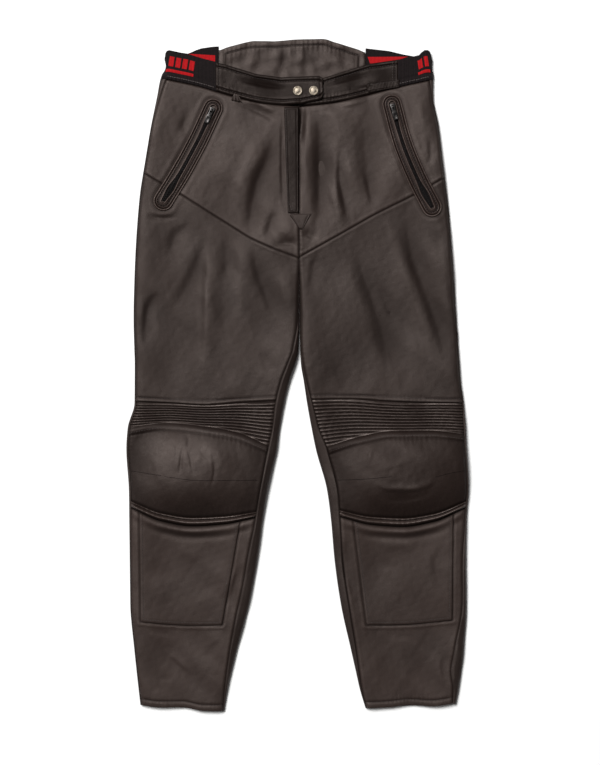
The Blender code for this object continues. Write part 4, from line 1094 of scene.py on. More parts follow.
# Painted highlight on both rolls, painted shade in the grooves between and beside them
ROLL_TONE = [(0.8, 0.14, 0.08), (0.8, 0.50, 0.12), (-0.9, 0.3, 0.06), (-0.8, 0.0, 0.04), (-1.0, 0.98, 0.12)]


def double_roll_relief(half, edges):
    """Two padded rolls under the knee cup."""
    ends = ease(edges.outer / 5.0) * ease(edges.inner / 5.0)
    ripple = pucker(0.0 * edges.x, edges.x, 9.0, 0.22, 5.0)
    extra = (ridges(edges.down, ROLLS) + ripple) * ends + ridges(edges.down, ROLL_GROOVES)
    return extra, ridges(edges.down, ROLL_TONE)


HEM_STITCH = 9.0
HEM_RELIEF = [(-0.8, HEM_STITCH + 0.6, 1.0), (-0.9, 0.0, 1.4)]
# Pale along the hem's rolled edge, from wear and painted highlight, and painted shade in its stitched groove
HEM_TONE = [(0.25, 2.0, 2.0), (-0.7, HEM_STITCH + 0.6, 1.0)]
SLACK_RELIEF = [(2.4, 7.5, 4.0), (-1.9, 17.0, 5.0)]
# Painted highlight on the slack's roll and painted shade in the hollow below it
SLACK_TONE = [(0.25, 6.5, 3.0), (-0.6, 15.0, 4.0)]
PATCH_BORDER = 9.0     # how far beside the patch the shin rises to it


def patch_share(half, x, y):
    """Distances inside the shin patch's outer, inner and bottom edges."""
    a, b, c, d = path_points(half.patch)
    v = np.clip((a[1] - y) / (a[1] - c[1]), 0.0, 1.2)
    outer = half.sign * ((a[0] + v * (d[0] - a[0])) - x)
    inner = half.sign * (x - (b[0] + v * (c[0] - b[0])))
    across = np.clip(outer / (outer + inner), 0.0, 1.0)
    low = d[1] + across * (c[1] - d[1]) - PATCH_BOTTOM_DIP * np.sin(math.pi * across)
    return outer, inner, y - low


def slack_roll(top, across):
    """The slack under the knee: sunk at the seam, then a soft roll and a hollow."""
    return across**0.7 * ridges(top, SLACK_RELIEF) - 1.8 * bump(top, 1.8)


def slack_tone(top, across):
    # Painted shade at the seam and in the hollow, painted highlight on the roll.
    return across**0.7 * ridges(top, SLACK_TONE) - 1.0 * bump(top, 2.0)


def shin_relief(half, edges):
    across = np.sin(math.pi * edges.across)
    extra = sewn_sides(edges) + slack_roll(edges.top, across)
    extra = extra + 0.7 * ease((HEM_STITCH - edges.bottom) / 1.5) + ridges(edges.bottom, HEM_RELIEF)
    extra = extra + pucker(edges.bottom - HEM_STITCH, edges.x, 6.0, 0.22, 7.0)
    outer, inner, low = patch_share(half, edges.x, edges.y)
    beside_patch = np.maximum(np.maximum(-outer, -inner), -low)
    near = (outer > -PATCH_BORDER) & (inner > -PATCH_BORDER)
    roll = bump(beside_patch - 4.0, 2.0) * np.where(near, 1.0, 0.0)
    extra = extra + 0.9 * roll * np.where(low < 0.0, 1.0, 0.45) - 0.8 * bump(beside_patch - 0.5, 1.4)
    tone = seam_tone(edges.outer, edges.inner) + slack_tone(edges.top, across)
    # Painted shadow beside the patch's edges and painted highlight on the roll beside it.
    tone = tone + ridges(edges.bottom, HEM_TONE) - 0.8 * bump(beside_patch - 0.6, 1.5) + 0.3 * roll
    return extra, tone


def sewn(node, shape, columns, rows, finish, slot="leather", ending="sewn", **more):
    """The piece that takes the place of one plain piece, and is named after it."""
    return cloth(f"{node}_{ending}", shape, columns, rows, finish, slot, [node], **more)


def front_panels(half):
    """The six panels of a half's front, from the waist to the hem."""
    knee_leather = KNEE_LEATHERS[half.name]
    rows = [
        ("hip_front", "waist", "hip", hip_relief, 140, 120, HIP_LEATHER, "leather"),
        ("thigh", "hip", "thigh", thigh_relief, 110, 140, LEATHER, "leather"),
        ("accordion", "thigh", "knee_top", rib_relief, 84, 76, RIB_LEATHER, "accordion"),
        ("knee", "knee_top", "knee_bottom", knee_relief, 120, 86, knee_leather, "knee_leather"),
        ("knee_roll", "knee_bottom", "shin_top", double_roll_relief, 110, 20, ROLL_LEATHER, "leather"),
        ("shin", "shin_top", "hem", shin_relief, 84, 120, SHIN_LEATHER, "leather"),
    ]
    return {
        name: sewn(f"{name}_{half.name}", front_shape(half, top, bottom, relief), *how)
        for name, top, bottom, relief, *how in rows
    }


Span = namedtuple("Span", "start end")
LEG_SPANS = {
    "front_strip_out": Span(0.0, 0.06),
    "fold_out": Span(0.06, 0.15),
    "floor": Span(0.15, 0.80),
    "fold_in": Span(0.80, 0.89),
    "front_strip_in": Span(0.89, 1.0),
}


def within(across, span):
    """The share of a span reached, 0 before it and 1 after it."""
    return np.clip((across - span.start) / (span.end - span.start), 0.0, 1.0)


def back_relief(half, x, y):
    mirror = -half.sign
    strayed = y + BACK_FOLD_SWAY * half.sign * np.sin(x / 60.0)
    folds = np.abs(crease_relief(BACK_FOLDS, x, strayed, mirror))
    return folds + 0.25 * (1.0 + waves(x, y, 23, [33.0, 58.0], 0.5))


LEG_STOPS = [0.0, 0.30, 0.375, 0.545, 0.565, 1.0]
LEG_LENGTH = 700.0
SEAT_LENGTH = 270.0
BACK_SEAM_RIDGE = 0.9  # how far the back lifts off the ground beside a seam
BACK_SEAM_WIDTH = 5.0
FLOOR_TONE = -0.2
FLOOR_EDGE = 14.0      # how far from a fold the folds of the back die away


def leg_seams(half, across, top):
    """The heights of the seams along one side of a leg, from its back's top to the hem."""
    seams = ("thigh", "knee_top", "knee_bottom", "shin_top", "hem")
    return [top] + [float(seam_level(half, seam, across)) for seam in seams]


def fold_turn(edge, fold, inwards, turn):
    """x and z round a side fold, from its widest point down to the ground at a quarter turn."""
    return edge + inwards * UNDERSIDE_ROUND * (1.0 - np.cos(turn)), fold * (1.0 - np.sin(turn))


def outer_strip(half, left, y, proud):
    """The back's strip on the front beside the outer seam: left is 1 at the seam."""
    wide = along(half.outline, "seam_out", y) - SEAM_GAP / 2
    x = along(half.outline, "outer", y) - half.sign * wide * left
    from_seam = wide * (1.0 - left)
    dip = seam_dip(from_seam) + proud * bump(from_seam - 2.2, 1.2)
    return x, y, surface(half, x, y) + dip * ease(wide / 3.0), 0.3 * left + seam_tone(from_seam)


def inner_strip(half, reach, y):
    """The same beside the inner seam, sunk where the two legs meet: reach is 1 at the seam."""
    wide = along(half.outline, "seam_in", y) - SEAM_GAP / 2
    x = along(half.outline, "inner", y) + half.sign * wide * reach
    from_seam = wide * (1.0 - reach)
    dip = seam_dip(from_seam) + 0.6 * bump(from_seam - 2.4, 1.3)
    joined = ease((y - CROTCH_Y + PARTING * 1.1) / (PARTING * 0.5))
    z = surface(half, x, y) + dip * ease(wide / 3.0) - 4.0 * joined
    # The whole strip is painted a little darker: painted shade.
    return x, y, z, seam_tone(from_seam) - 0.1


def where_all(part, new, old):
    """The new x, y, z and tone where part holds, the old ones elsewhere."""
    return [np.where(part, fresh, before) for fresh, before in zip(new, old)]


def back_leg_shape(half):
    """The back of a leg: over the ground and up round both folds to the front's side seams."""
    outer_seams = leg_seams(half, 0.0, seat_bottom(half))
    inner_seams = leg_seams(half, 1.0, CROTCH_Y)
    sign = half.sign

    def shape(across, down):
        y_out = np.interp(down, LEG_STOPS, outer_seams) - SEAM_GAP / 2 * (1.0 - down)
        y_in = np.interp(down, LEG_STOPS, inner_seams) - SEAM_GAP * (1.0 - down)
        edge_out = along(half.outline, "outer", y_out)
        edge_in = along(half.outline, "inner", y_in)
        floor_out = edge_out - sign * UNDERSIDE_ROUND
        floor_in = edge_in + sign * UNDERSIDE_ROUND
        t = within(across, LEG_SPANS["floor"])
        x = floor_out + t * (floor_in - floor_out)
        y = y_out + t * (y_in - y_out)
        inset = np.minimum(np.abs(x - floor_out), np.abs(x - floor_in))
        z = back_relief(half, x, y) * ease(inset / FLOOR_EDGE)
        z = z + BACK_SEAM_RIDGE * bump(down * LEG_LENGTH, BACK_SEAM_WIDTH)
        found = [x, y, z, FLOOR_TONE * z]
        turn = within(across, LEG_SPANS["fold_out"]) * math.pi / 2
        x, z = fold_turn(edge_out, along(LAY, "fold", y_out), -sign, turn)
        found = where_all(across <= LEG_SPANS["fold_out"].end, (x, y_out, z, found[3]), found)
        turn = (1.0 - within(across, LEG_SPANS["fold_in"])) * math.pi / 2
        x, z = fold_turn(edge_in, along(LAY, "fold", y_in), sign, turn)
        found = where_all(across >= LEG_SPANS["fold_in"].start, (x, y_in, z, found[3]), found)
        strip = outer_strip(half, 1.0 - within(across, LEG_SPANS["front_strip_out"]), y_out, 0.5)
        found = where_all(across < LEG_SPANS["front_strip_out"].end, strip, found)
        strip = inner_strip(half, within(across, LEG_SPANS["front_strip_in"]), y_in)
        found = where_all(across > LEG_SPANS["front_strip_in"].start, strip, found)
        return np.stack(found[:3], axis=1), found[3]
    return shape


SEAT_SPANS = {
    "front_strip": Span(0.0, 0.07),
    "fold": Span(0.07, 0.18),
    "floor": Span(0.18, 1.0),
}
SEAT_STOPS = [0.0, 0.55, 1.0]


def seat_shape(half):
    """The upper back, from the centre seam round the outer fold to the side seam."""
    sides = [float(seam_level(half, seam, 0.0)) for seam in ("waist", "hip")] + [float(seat_bottom(half))]
    centre = CENTRE_X + half.sign * SEAM_GAP / 2
    sign = half.sign

    def shape(across, down):
        y_out = np.interp(down, SEAT_STOPS, sides) - SEAM_GAP / 2 + SEAM_GAP * down
        y_in = BACK_WAIST_Y - SEAM_GAP / 2 + down * (CROTCH_Y - BACK_WAIST_Y)
        edge = along(half.outline, "outer", y_out)
        floor_out = edge - sign * UNDERSIDE_ROUND
        t = within(across, SEAT_SPANS["floor"])
        x = floor_out + t * (centre - floor_out)
        y = y_out + t * (y_in - y_out)
        from_centre = np.abs(x - centre)
        z = back_relief(half, x, y) * ease(np.abs(x - floor_out) / FLOOR_EDGE) * ease(from_centre / 5.0)
        z = z + BACK_SEAM_RIDGE * bump(from_centre, BACK_SEAM_WIDTH) + 0.7 * bump(down * SEAT_LENGTH, 1.6)
        z = z + BACK_SEAM_RIDGE * bump((1.0 - down) * SEAT_LENGTH, BACK_SEAM_WIDTH)
        found = [x, y, z, FLOOR_TONE * z]
        turn = within(across, SEAT_SPANS["fold"]) * math.pi / 2
        x, z = fold_turn(edge, along(LAY, "fold", y_out), -sign, turn)
        found = where_all(across <= SEAT_SPANS["fold"].end, (x, y_out, z, found[3]), found)
        strip = outer_strip(half, 1.0 - within(across, SEAT_SPANS["front_strip"]), y_out, 0.0)
        found = where_all(across < SEAT_SPANS["front_strip"].end, strip, found)
        return np.stack(found[:3], axis=1), found[3]
    return shape


def half_values(x, right, left):
    """The right half's value where x is on the right, the left half's elsewhere."""
    return np.where(x < CENTRE_X, right, left)


def front_level(x, y):
    return half_values(x, surface(RIGHT, x, y), surface(LEFT, x, y))


SLOPE_STEP = 0.6       # over which the front's slope is taken


def laid_places(x, y, rise):
    """Places at a distance above the front, square to it."""
    step = SLOPE_STEP
    z = front_level(x, y)
    slope_x = (front_level(x + step, y) - front_level(x - step, y)) / (2 * step)
    slope_y = (front_level(x, y + step) - front_level(x, y - step)) / (2 * step)
    normal = np.stack([-slope_x, -slope_y, np.ones(x.shape)], axis=1)
    normal /= np.linalg.norm(normal, axis=1)[:, None]
    return np.stack([x, y, z], axis=1) + np.asarray(rise)[:, None] * normal


def corner_places(corners, across, down, dip=0.0):
    """Places between four corners: top outer, top inner, bottom inner, bottom outer."""
    a, b, c, d = path_points(corners)
    u, v = across[:, None], down[:, None]
    spot = (1 - v) * ((1 - u) * a + u * b) + v * ((1 - u) * d + u * c)
    return spot[:, 0], spot[:, 1] - dip * down * np.sin(math.pi * across)


def padded_edge(distance, edge):
    """A turned edge: rounded off within edge of the border."""
    t = np.clip(distance / edge, 0.0, 1.0)
    return np.sqrt(1.0 - (1.0 - t) ** 2)


PATCH_STITCH = 4.2


def shin_patch_shape(half):
    def shape(across, down):
        x, y = corner_places(half.patch, across, down, PATCH_BOTTOM_DIP)
        y = y + (1 - down) * (shin_top_y(half, x) - SEAM_GAP - half.patch[0].y)
        outer, inner, low = patch_share(half, x, y)
        border = np.minimum(np.minimum(outer, inner), np.maximum(low, 0.0))
        top = shin_top_y(half, x) - y
        rise = LAY_GAP + PATCH_WALL * (0.35 + 0.65 * padded_edge(border, 1.8))
        rise = rise - 0.3 * bump(border - PATCH_STITCH, 0.9) + slack_roll(top, np.sin(math.pi * across))
        rise = rise + pucker(border - PATCH_STITCH, x + y, 6.0, 0.18)
        # Painted highlight on the turned edge, painted shade in the stitch groove and along the edge, and
        # painted light and shade of the folds.
        tone = 0.15 * bump(border - 1.6, 1.2) - 0.2 * bump(border - PATCH_STITCH, 1.0)
        tone = tone + slack_tone(top, np.sin(math.pi * across)) - 0.6 * bump(border, 0.8)
        return laid_places(x, y, rise), tone + FOLD_PAINTED_SHADING * relief_at(half, x, y)
    return shape


def slot_half_width(t):
    """The slit between the welts: open round the slider and gaping near its lower end."""
    return WELT_SLOT_HALF_WIDTH + 2.0 * bump(t - 0.03, 0.12) + 2.4 * bump(t - 0.87, 0.09)


WELT_RELIEF = [(0.6, 1.5, 1.2), (-0.9, 3.5, 0.9), (0.5, 5.2, 0.9), (-0.9, WELT_SEAM, 0.9)]
# Painted highlight on the frame's ridges and lips, painted shade in its grooves and in the slit
WELT_TONE = [(1.5, 1.4, 1.2), (-1.2, 3.6, 0.9), (1.4, 5.2, 0.9), (-1.2, WELT_SEAM, 0.9)]
LIP_RELIEF = [(0.8, 1.5, 1.1)]
LIP_TONE = [(1.3, 1.4, 1.0), (-1.0, 0.0, 0.5)]


def welt_ring(half, straight, around, inwards):
    """A place of the frame and half the slit's width there; around runs round the zip from 0 to 1."""
    length = path_length(half.zip)
    turn = around % 1.0
    second = turn >= 0.5
    local = turn - 0.5 if second else turn
    if local <= straight:
        t, aside, out = local / straight, 1.0, 0.0
    else:
        angle = math.pi * (local - straight) / (0.5 - straight)
        t, aside, out = 1.0, math.cos(angle), math.sin(angle)
    if second:
        t, aside, out = 1.0 - t, -aside, -out
    slot = slot_half_width(t)
    width = WELT_HALF_WIDTH + inwards * (slot - WELT_HALF_WIDTH)
    return (*beside(half.zip, t + out * width / length, aside * width), slot)


def welt_shape(half):
    """The pocket's frame: down one side of the zip, round its end and up the other."""
    length = path_length(half.zip)
    straight = 0.5 - 0.5 * math.pi * WELT_HALF_WIDTH / (2 * length + 2 * math.pi * WELT_HALF_WIDTH)

    def shape(across, down):
        spots = [welt_ring(half, straight, s, r) for s, r in zip(across, down)]
        x, y, slot = np.array(spots).T
        inside = down * (WELT_HALF_WIDTH - slot)
        lip = WELT_HALF_WIDTH - slot - inside
        rise = 1.2 - 0.7 * ease(1.0 - inside) + ridges(inside, WELT_RELIEF)
        rise = rise + ridges(lip, LIP_RELIEF) - 1.0 * ease(1.0 - lip / 0.9)
        # The whole frame is painted darker, so that its ridges read as highlights.
        return laid_places(x, y, rise), ridges(inside, WELT_TONE) + ridges(lip, LIP_TONE) - 0.55
    return shape


def zip_tape_shape(half):
    wide = 2.0 * ZIP_HALF_WIDTH + 1.0

    def shape(across, down):
        spots = [beside(half.zip, v, (u - 0.5) * wide) for u, v in zip(across, down)]
        x, y = np.array(spots).T
        return laid_places(x, y, 0.9 + 0.25 * bump(across - 0.5, 0.2)), 0.0 * x
    return shape


BAND_STITCH = 6.6      # from the band's top and bottom edges
BAND_END_STITCH = 4.5
BAND_TOP_RELIEF = [(0.9, 3.0, 2.0), (-0.9, BAND_STITCH, 1.1)]
# Painted highlight on the band's edges and rolls, painted shade in its stitched grooves
BAND_TOP_TONE = [(1.2, 2.6, 1.4), (-0.9, BAND_STITCH, 1.1), (0.7, 10.0, 1.6)]
BAND_LOW_RELIEF = [(1.0, 3.0, 2.0), (-1.0, BAND_STITCH, 1.0), (0.6, 9.6, 1.9)]
BAND_LOW_TONE = [(1.2, 3.4, 1.3), (-0.9, BAND_STITCH, 1.0), (0.9, 9.6, 1.6)]
BAND_END_TONE = [(0.6, 1.8, 1.2), (-0.8, BAND_END_STITCH, 1.0)]
BAND_FOLD_PAINTED_SHADING = 0.30


def lap_rise(x):
    """How far the right half's lap lies above the left half."""
    return (BAND_WALL + 2 * LAY_GAP) * ease((x - LAP_START) / (LAP_FULL - LAP_START))


def band_bottom(half, x, seam_y):
    """The band's lower edge: the waist seam and, on the lap, the lap's own edge."""
    if half is LEFT:
        return seam_y
    lap = np.maximum(edge_at(LAP_BOTTOM, x), np.where(x < CENTRE_X, seam_y, 0.0))
    return np.where(x > LAP_START, lap, seam_y)


def band_shape(half, top_edge, start, end):
    """A half of the waistband: folded along its top, with a double roll along its bottom."""
    def shape(across, down):
        x = start + across * (end - start)
        bottom = band_bottom(half, x, waist_seam_y(half, x) + SEAM_GAP)
        top = edge_at(top_edge, x)
        rise = 0.0 * x
        if half is RIGHT:
            rise = np.where(x > LAP_START, lap_rise(x), 0.0)
            past = np.clip(x - end + LAP_END_ROUND, 0.0, LAP_END_ROUND)
            corner = 0.8 * (LAP_END_ROUND - np.sqrt(LAP_END_ROUND**2 - past**2))
            top = top - corner
            bottom = bottom + corner
        y = bottom + (1.0 - down) * (top - bottom)
        from_top = top - y
        from_bottom = y - bottom
        from_end = np.minimum(np.abs(x - start), np.abs(x - end))
        border = np.minimum(np.minimum(from_top, from_bottom), from_end)
        rise = rise + 0.9 * (padded_edge(border, 3.0) - 1.0) + 0.5 * np.sin(math.pi * down)
        rise = rise + ridges(from_top, BAND_TOP_RELIEF) + ridges(from_bottom, BAND_LOW_RELIEF)
        rise = rise - 0.6 * bump(from_end - BAND_END_STITCH, 1.0)
        rise = rise + pucker(from_bottom - 6.0, x, 6.0, 0.22, 7.0) + pucker(from_top - 5.0, x, 7.0, 0.15)
        tone = ridges(from_top, BAND_TOP_TONE) + ridges(from_bottom, BAND_LOW_TONE)
        tone = tone + ridges(from_end, BAND_END_TONE)
        # Folds add painted highlight on their ridges and painted shade in their troughs.
        return laid_places(x, y, rise), tone + BAND_FOLD_PAINTED_SHADING * relief_at(half, x, y)
    return shape


def quilted(x, y, pitch, height):
    u = (x + 0.5 * y) / pitch
    v = (y - 0.5 * x) / pitch
    return height * np.abs(np.sin(math.pi * (u + v))) * np.abs(np.sin(math.pi * (u - v)))


def strip_shape(corners, stitch, quilt=0.0, pleats=0.0):
    """A small four-cornered piece with a stitched border."""
    a, b, c, d = path_points(corners)
    wide = 0.5 * (np.linalg.norm(a - b) + np.linalg.norm(d - c))
    tall = 0.5 * (np.linalg.norm(a - d) + np.linalg.norm(b - c))

    def shape(across, down):
        x, y = corner_places(corners, across, down)
        border = np.minimum(np.minimum(across, 1 - across) * wide, np.minimum(down, 1 - down) * tall)
        pleated = pleats * np.cos(6.0 * math.pi * across) * down
        rise = LAY_GAP + PATCH_WALL * (0.3 + 0.7 * padded_edge(border, 1.8)) + quilted(x, y, 7.0, quilt)
        rise = rise + pleated - 0.55 * bump(border - stitch, 0.8)
        # Painted highlight on the turned edge and the pleats' crests, painted shade in the stitch groove and
        # the pleats' troughs.
        tone = ridges(border, [(0.7, 1.0, 0.9), (-0.7, stitch, 0.9)]) + 0.5 * pleated
        return laid_places(x, y, rise), tone
    return shape


YOKE_STITCH = 8.6
# Painted highlight on the bound edge, painted shade in the stitched groove
YOKE_TONE = [(0.6, 2.5, 1.8), (-0.9, YOKE_STITCH, 1.1)]


def yoke_top(x):
    """The high panel's top edge, its corners softened."""
    first, last = YOKE_TOP[0].x, YOKE_TOP[-1].x
    near = [edge_at(YOKE_TOP, np.clip(x + shift, first, last)) for shift in (-5.0, -2.5, 0.0, 2.5, 5.0)]
    return sum(near) / len(near)


def yoke_shape(across, down):
    """The inside of the high back panel, puckered along its bound edge."""
    first, last = YOKE_TOP[0].x, YOKE_TOP[-1].x
    x = first + across * (last - first)
    low = half_values(x, back_waist_y(RIGHT, x), back_waist_y(LEFT, x)) + SEAM_GAP / 2
    top = yoke_top(x)
    y = low + (1.0 - down) * (top - low)
    border = np.minimum(0.93 * (top - y), 0.8 * np.minimum(x - first, last - x))
    folds = crease_relief(YOKE_FOLDS, x, y)
    rise = YOKE_WALL + 0.9 + 1.3 * folds + waves(x, y, 3, [19.0, 31.0, 47.0], 0.45)
    rise = rise + 0.9 * (padded_edge(border, 2.5) - 1.0) - 0.9 * bump(border - YOKE_STITCH, 1.1)
    rise = rise + pucker(border - 9.0, x, 7.0, 0.3, 8.0)
    # Folds add painted highlight on their ridges and painted shade in their troughs.
    return np.stack([x, y, rise], axis=1), ridges(border, YOKE_TONE) + 0.5 * folds


ELASTIC_SPANS = {
    "front": Span(0.0, 0.44),
    "fold": Span(0.44, 0.54),
    "back": Span(0.54, 1.0),
}
GATHER_PITCH = 3.4


def elastic_parts(half):
    """The top edges in front and behind, and where the waistband and the high panel end."""
    if half is RIGHT:
        edges = RIGHT_ELASTIC_FRONT, RIGHT_ELASTIC_BACK
        return *edges, BAND_END_RIGHT - SEAM_GAP, YOKE_TOP[0].x - SEAM_GAP
    edges = LEFT_ELASTIC_FRONT, LEFT_ELASTIC_BACK
    return *edges, BAND_END_LEFT + SEAM_GAP, YOKE_TOP[-1].x + SEAM_GAP


def gathers(run, v):
    """Knit ribs, drawn together along the bottom seam."""
    ribs = 0.35 * np.abs(np.sin(math.pi * run / GATHER_PITCH + 0.5 * np.sin(run / 11.0)))
    edge = 0.5 * bump(v, 0.12) * np.sin(2.0 * math.pi * run / 6.0 + np.sin(run / 7.0))
    return ribs + edge + 1.1 * bump(v - 0.09, 0.08) - 0.9 * bump(v - 0.24, 0.05)


def elastic_front(half, x, v):
    """Height and level of the elastic's front part at x, v from its bottom to its top."""
    front_top = elastic_parts(half)[0]
    bottom = waist_seam_y(half, x) + SEAM_GAP
    y = bottom + v * (edge_at(front_top, x) - bottom)
    return y, surface(half, x, y) + gathers(x, v) - 0.6 * bump(v, 0.03)


def elastic_shape(half):
    """From the waistband's end round the side fold to the high back panel."""
    front_top, back_top, front_end, back_end = elastic_parts(half)

    def shape(across, down):
        v = 1.0 - down
        sign = half.sign
        side_y = waist_seam_y(half, seam_x(half, np.full(v.shape, 457.0), 0.0)) + SEAM_GAP
        y_side = side_y + v * (edge_at(front_top, front_top[-1].x) - side_y)
        edge = along(half.outline, "outer", y_side)
        share = within(across, ELASTIC_SPANS["front"])
        bulge = 1.2 * np.sin(v * 3.0 * math.pi) * ease(v * 4.0) * ease((1.0 - v) * 4.0)
        x_front = front_end + share * (edge + sign * bulge - front_end)
        y_front, z_front = elastic_front(half, x_front, v)
        turn = within(across, ELASTIC_SPANS["fold"]) * math.pi / 2
        x_fold, z_fold = fold_turn(edge, along(LAY, "fold", y_side), -sign, turn)
        x_fold = x_fold + sign * bulge * np.cos(turn)
        t = within(across, ELASTIC_SPANS["back"])
        start = edge - sign * UNDERSIDE_ROUND
        x_back = start + t * (back_end - start)
        low = back_waist_y(half, x_back) + SEAM_GAP / 2
        y_back = low + v * (edge_at(back_top, x_back) - low)
        front = across < ELASTIC_SPANS["front"].end
        back = across > ELASTIC_SPANS["fold"].end
        x = np.where(front, x_front, np.where(back, x_back, x_fold))
        y = np.where(front, y_front, np.where(back, y_back, y_side))
        z_back = 0.35 * (1.0 - np.abs(np.sin(math.pi * x_back / GATHER_PITCH))) * ease(t * 8.0)
        z = np.where(front, z_front, np.where(back, z_back, z_fold))
        return np.stack([x, y, z], axis=1), np.zeros(v.shape)
    return shape


def red_front_shape(half, left, right, low, high):
    """A slanted red bar knitted into the elastic's front part."""
    def shape(across, down):
        v = low + (1.0 - down) * (high - low)
        x = left + across * (right - left) + half.sign * RED_BAR_LEAN * (v - 0.5)
        y, z = elastic_front(half, x, v)
        return np.stack([x, y, z + 0.45], axis=1), 0.0 * x
    return shape


def red_back_shape(corners):
    """The plain red stripe on the inside of the elastic behind."""
    def shape(across, down):
        x, y = corner_places(corners, across, down)
        z = ELASTIC_WALL + 0.55 + 0.2 * np.abs(np.sin(math.pi * x / GATHER_PITCH))
        return np.stack([x, y, z], axis=1), 0.0 * x
    return shape


# Each bar's left and right ends, and its lower and upper edges as shares of the elastic's height
RED_LINE_EDGES = (0.26, 0.36)
RED_DASH_EDGES = (0.46, 0.80)
RED_BARS = {
    "right": [
        (-203.0, -160.0, *RED_LINE_EDGES),
        (-200.0, -192.5, *RED_DASH_EDGES),
        (-189.5, -182.0, *RED_DASH_EDGES),
        (-179.0, -171.5, *RED_DASH_EDGES),
        (-168.5, -161.0, *RED_DASH_EDGES),
    ],
    "left": [
        (186.0, 204.5, *RED_LINE_EDGES),
        (188.0, 194.5, *RED_DASH_EDGES),
        (197.5, 203.5, *RED_DASH_EDGES),
    ],
}
RED_BAR_LEAN = -7.0
RED_INSIDE = {
    "right": rows_of(Place, (-178.0, 499.5), (-128.0, 496.5), (-128.0, 486.5), (-171.0, 497.0)),
    "left": rows_of(Place, (109.0, 494.0), (172.0, 494.5), (160.0, 490.5), (113.0, 483.5)),
}


STITCH_LENGTH = 3.1
STITCH_STEP = 4.1
STITCH_RADIUS = 0.36
STITCH_SINK = 0.25     # how far a stitch's ends dive
STITCH_LIFT = 0.16
STITCH_LIFT_BELOW = 0.02
DART_STEP = 3.0
ELASTIC_STITCH_STEP = 3.6
YOKE_STITCH_INSET = 9.2
RIGHT_BAND_ROW = (-122.0, 32.0)
LEFT_BAND_ROW = (44.0, 151.0)
CENTRE_ROW = (452.0, 182.0)
BACK_STITCH = 4.0      # from the seams of the back
LENGTHWISE = (0.0, math.pi / 2, 0.0)    # turns an upright shape to lie along x


def cut_across(places, square):
    """Add a loop of edges to the active mesh at each place, square to this direction."""
    bpy.ops.object.mode_set(mode="EDIT")
    for place in places:
        bpy.ops.mesh.select_all(action="SELECT")
        bpy.ops.mesh.bisect(plane_co=place, plane_no=square)
    bpy.ops.object.mode_set(mode="OBJECT")


def stitch_model():
    """One stitch: a short thread, thick in the middle, sunk at both ends."""
    size = {"radius": STITCH_RADIUS * MM, "depth": STITCH_LENGTH * MM}
    made = primitive(bpy.ops.mesh.primitive_cylinder_add, vertices=6, rotation=LENGTHWISE, **size)
    cut_across([(0.0, 0.0, 0.0)], (1.0, 0.0, 0.0))
    for vertex in made.data.vertices:
        if abs(vertex.co.x) > 0.4 * STITCH_LENGTH * MM:
            vertex.co.z = vertex.co.z * 0.6 - STITCH_SINK * MM
            vertex.co.y *= 0.7
    return made


def copies(name, model, frames, finish):
    """One mesh that holds a copy of the model in each frame."""
    corners = triples(model.data.vertices, "co")
    count = len(corners)
    corners = np.c_[corners, np.ones(count)]
    faces = [list(face.vertices) for face in model.data.polygons]
    points = np.concatenate([corners @ np.array(matrix).T for matrix in frames])[:, :3]
    all_faces = [[corner + k * count for corner in face] for k in range(len(frames)) for face in faces]
    mesh = bpy.data.meshes.new(name)
    mesh.from_pydata(points.tolist(), [], all_faces)
    mesh.shade_smooth()
    mesh.materials.append(finish)
    piece = bpy.data.objects.new(name, mesh)
    bpy.context.collection.objects.link(piece)
    return attach(piece)


def frame_at(ahead, aside, up, place):
    """A frame with these three axes, at a place in metres."""
    matrix = Matrix.Identity(4)
    for k, axis in enumerate((ahead, aside, up)):
        matrix.col[k] = (*axis, 0.0)
    matrix.translation = place
    return matrix


def spaced(points, step):
    """Places at even steps along a line of (x, y) points, with the direction at each."""
    points = np.array(points, float)
    stops = running_length(points)
    s = np.arange(step / 2, stops[-1], step)

    def at(reached):
        return np.stack([np.interp(reached, stops, points[:, k]) for k in (0, 1)], axis=1)
    return at(s), at(s + 0.5) - at(s - 0.5)


def stitch_frames(cloths, points, up=1.0, step=STITCH_STEP):
    """Frames on the face of the cloths that lie under the line, seen from above or below."""
    frames = []
    lift = (STITCH_LIFT if up > 0.0 else STITCH_LIFT_BELOW) * MM
    for (x, y), run in zip(*spaced(points, step)):
        best = None
        origin = Vector((x * MM, y * MM, up * 0.2))
        for cloth_piece in cloths:
            found, place, normal, _ = cloth_piece.ray_cast(origin, Vector((0.0, 0.0, -up)))
            if found and (best is None or (place.z - best[0].z) * up > 0.0):
                best = (place, normal)
        if best is None or best[1].z * up < 0.3:
            continue
        place, normal = best
        ahead = Vector((*run, 0.0))
        ahead = (ahead - normal * ahead.dot(normal)).normalized()
        frames.append(frame_at(ahead, normal.cross(ahead), normal, place + normal * lift))
    return frames


def zip_matrix(half):
    """The slider's place: x across the zip, y towards its top end, z out of the cloth."""
    spot = slider_place(half)
    below = beside(half.zip, SLIDER_AIM / path_length(half.zip), 0.0)
    z = float(front_height(half, *spot)) + LAY_GAP + ZIP_THICKNESS + LAY_GAP
    up = np.array([*(spot - below), 0.0])
    up /= np.linalg.norm(up)
    return frame_at(np.cross(up, [0.0, 0.0, 1.0]), up, (0.0, 0.0, 1.0), Vector((*spot, z)) * MM)


def start_box(size, place):
    """A box of this size at this place, in millimetres, ready to be shaped."""
    where = {"location": Vector(place) * MM, "scale": Vector(size) * MM}
    return primitive(bpy.ops.mesh.primitive_cube_add, size=1.0, **where)


def finish_with(piece, kind, **settings):
    """Apply one modifier to a piece."""
    modifier = piece.modifiers.new("shaping", kind)
    for name, value in settings.items():
        setattr(modifier, name, value)
    bpy.context.view_layer.objects.active = piece
    bpy.ops.object.modifier_apply(modifier=modifier.name)


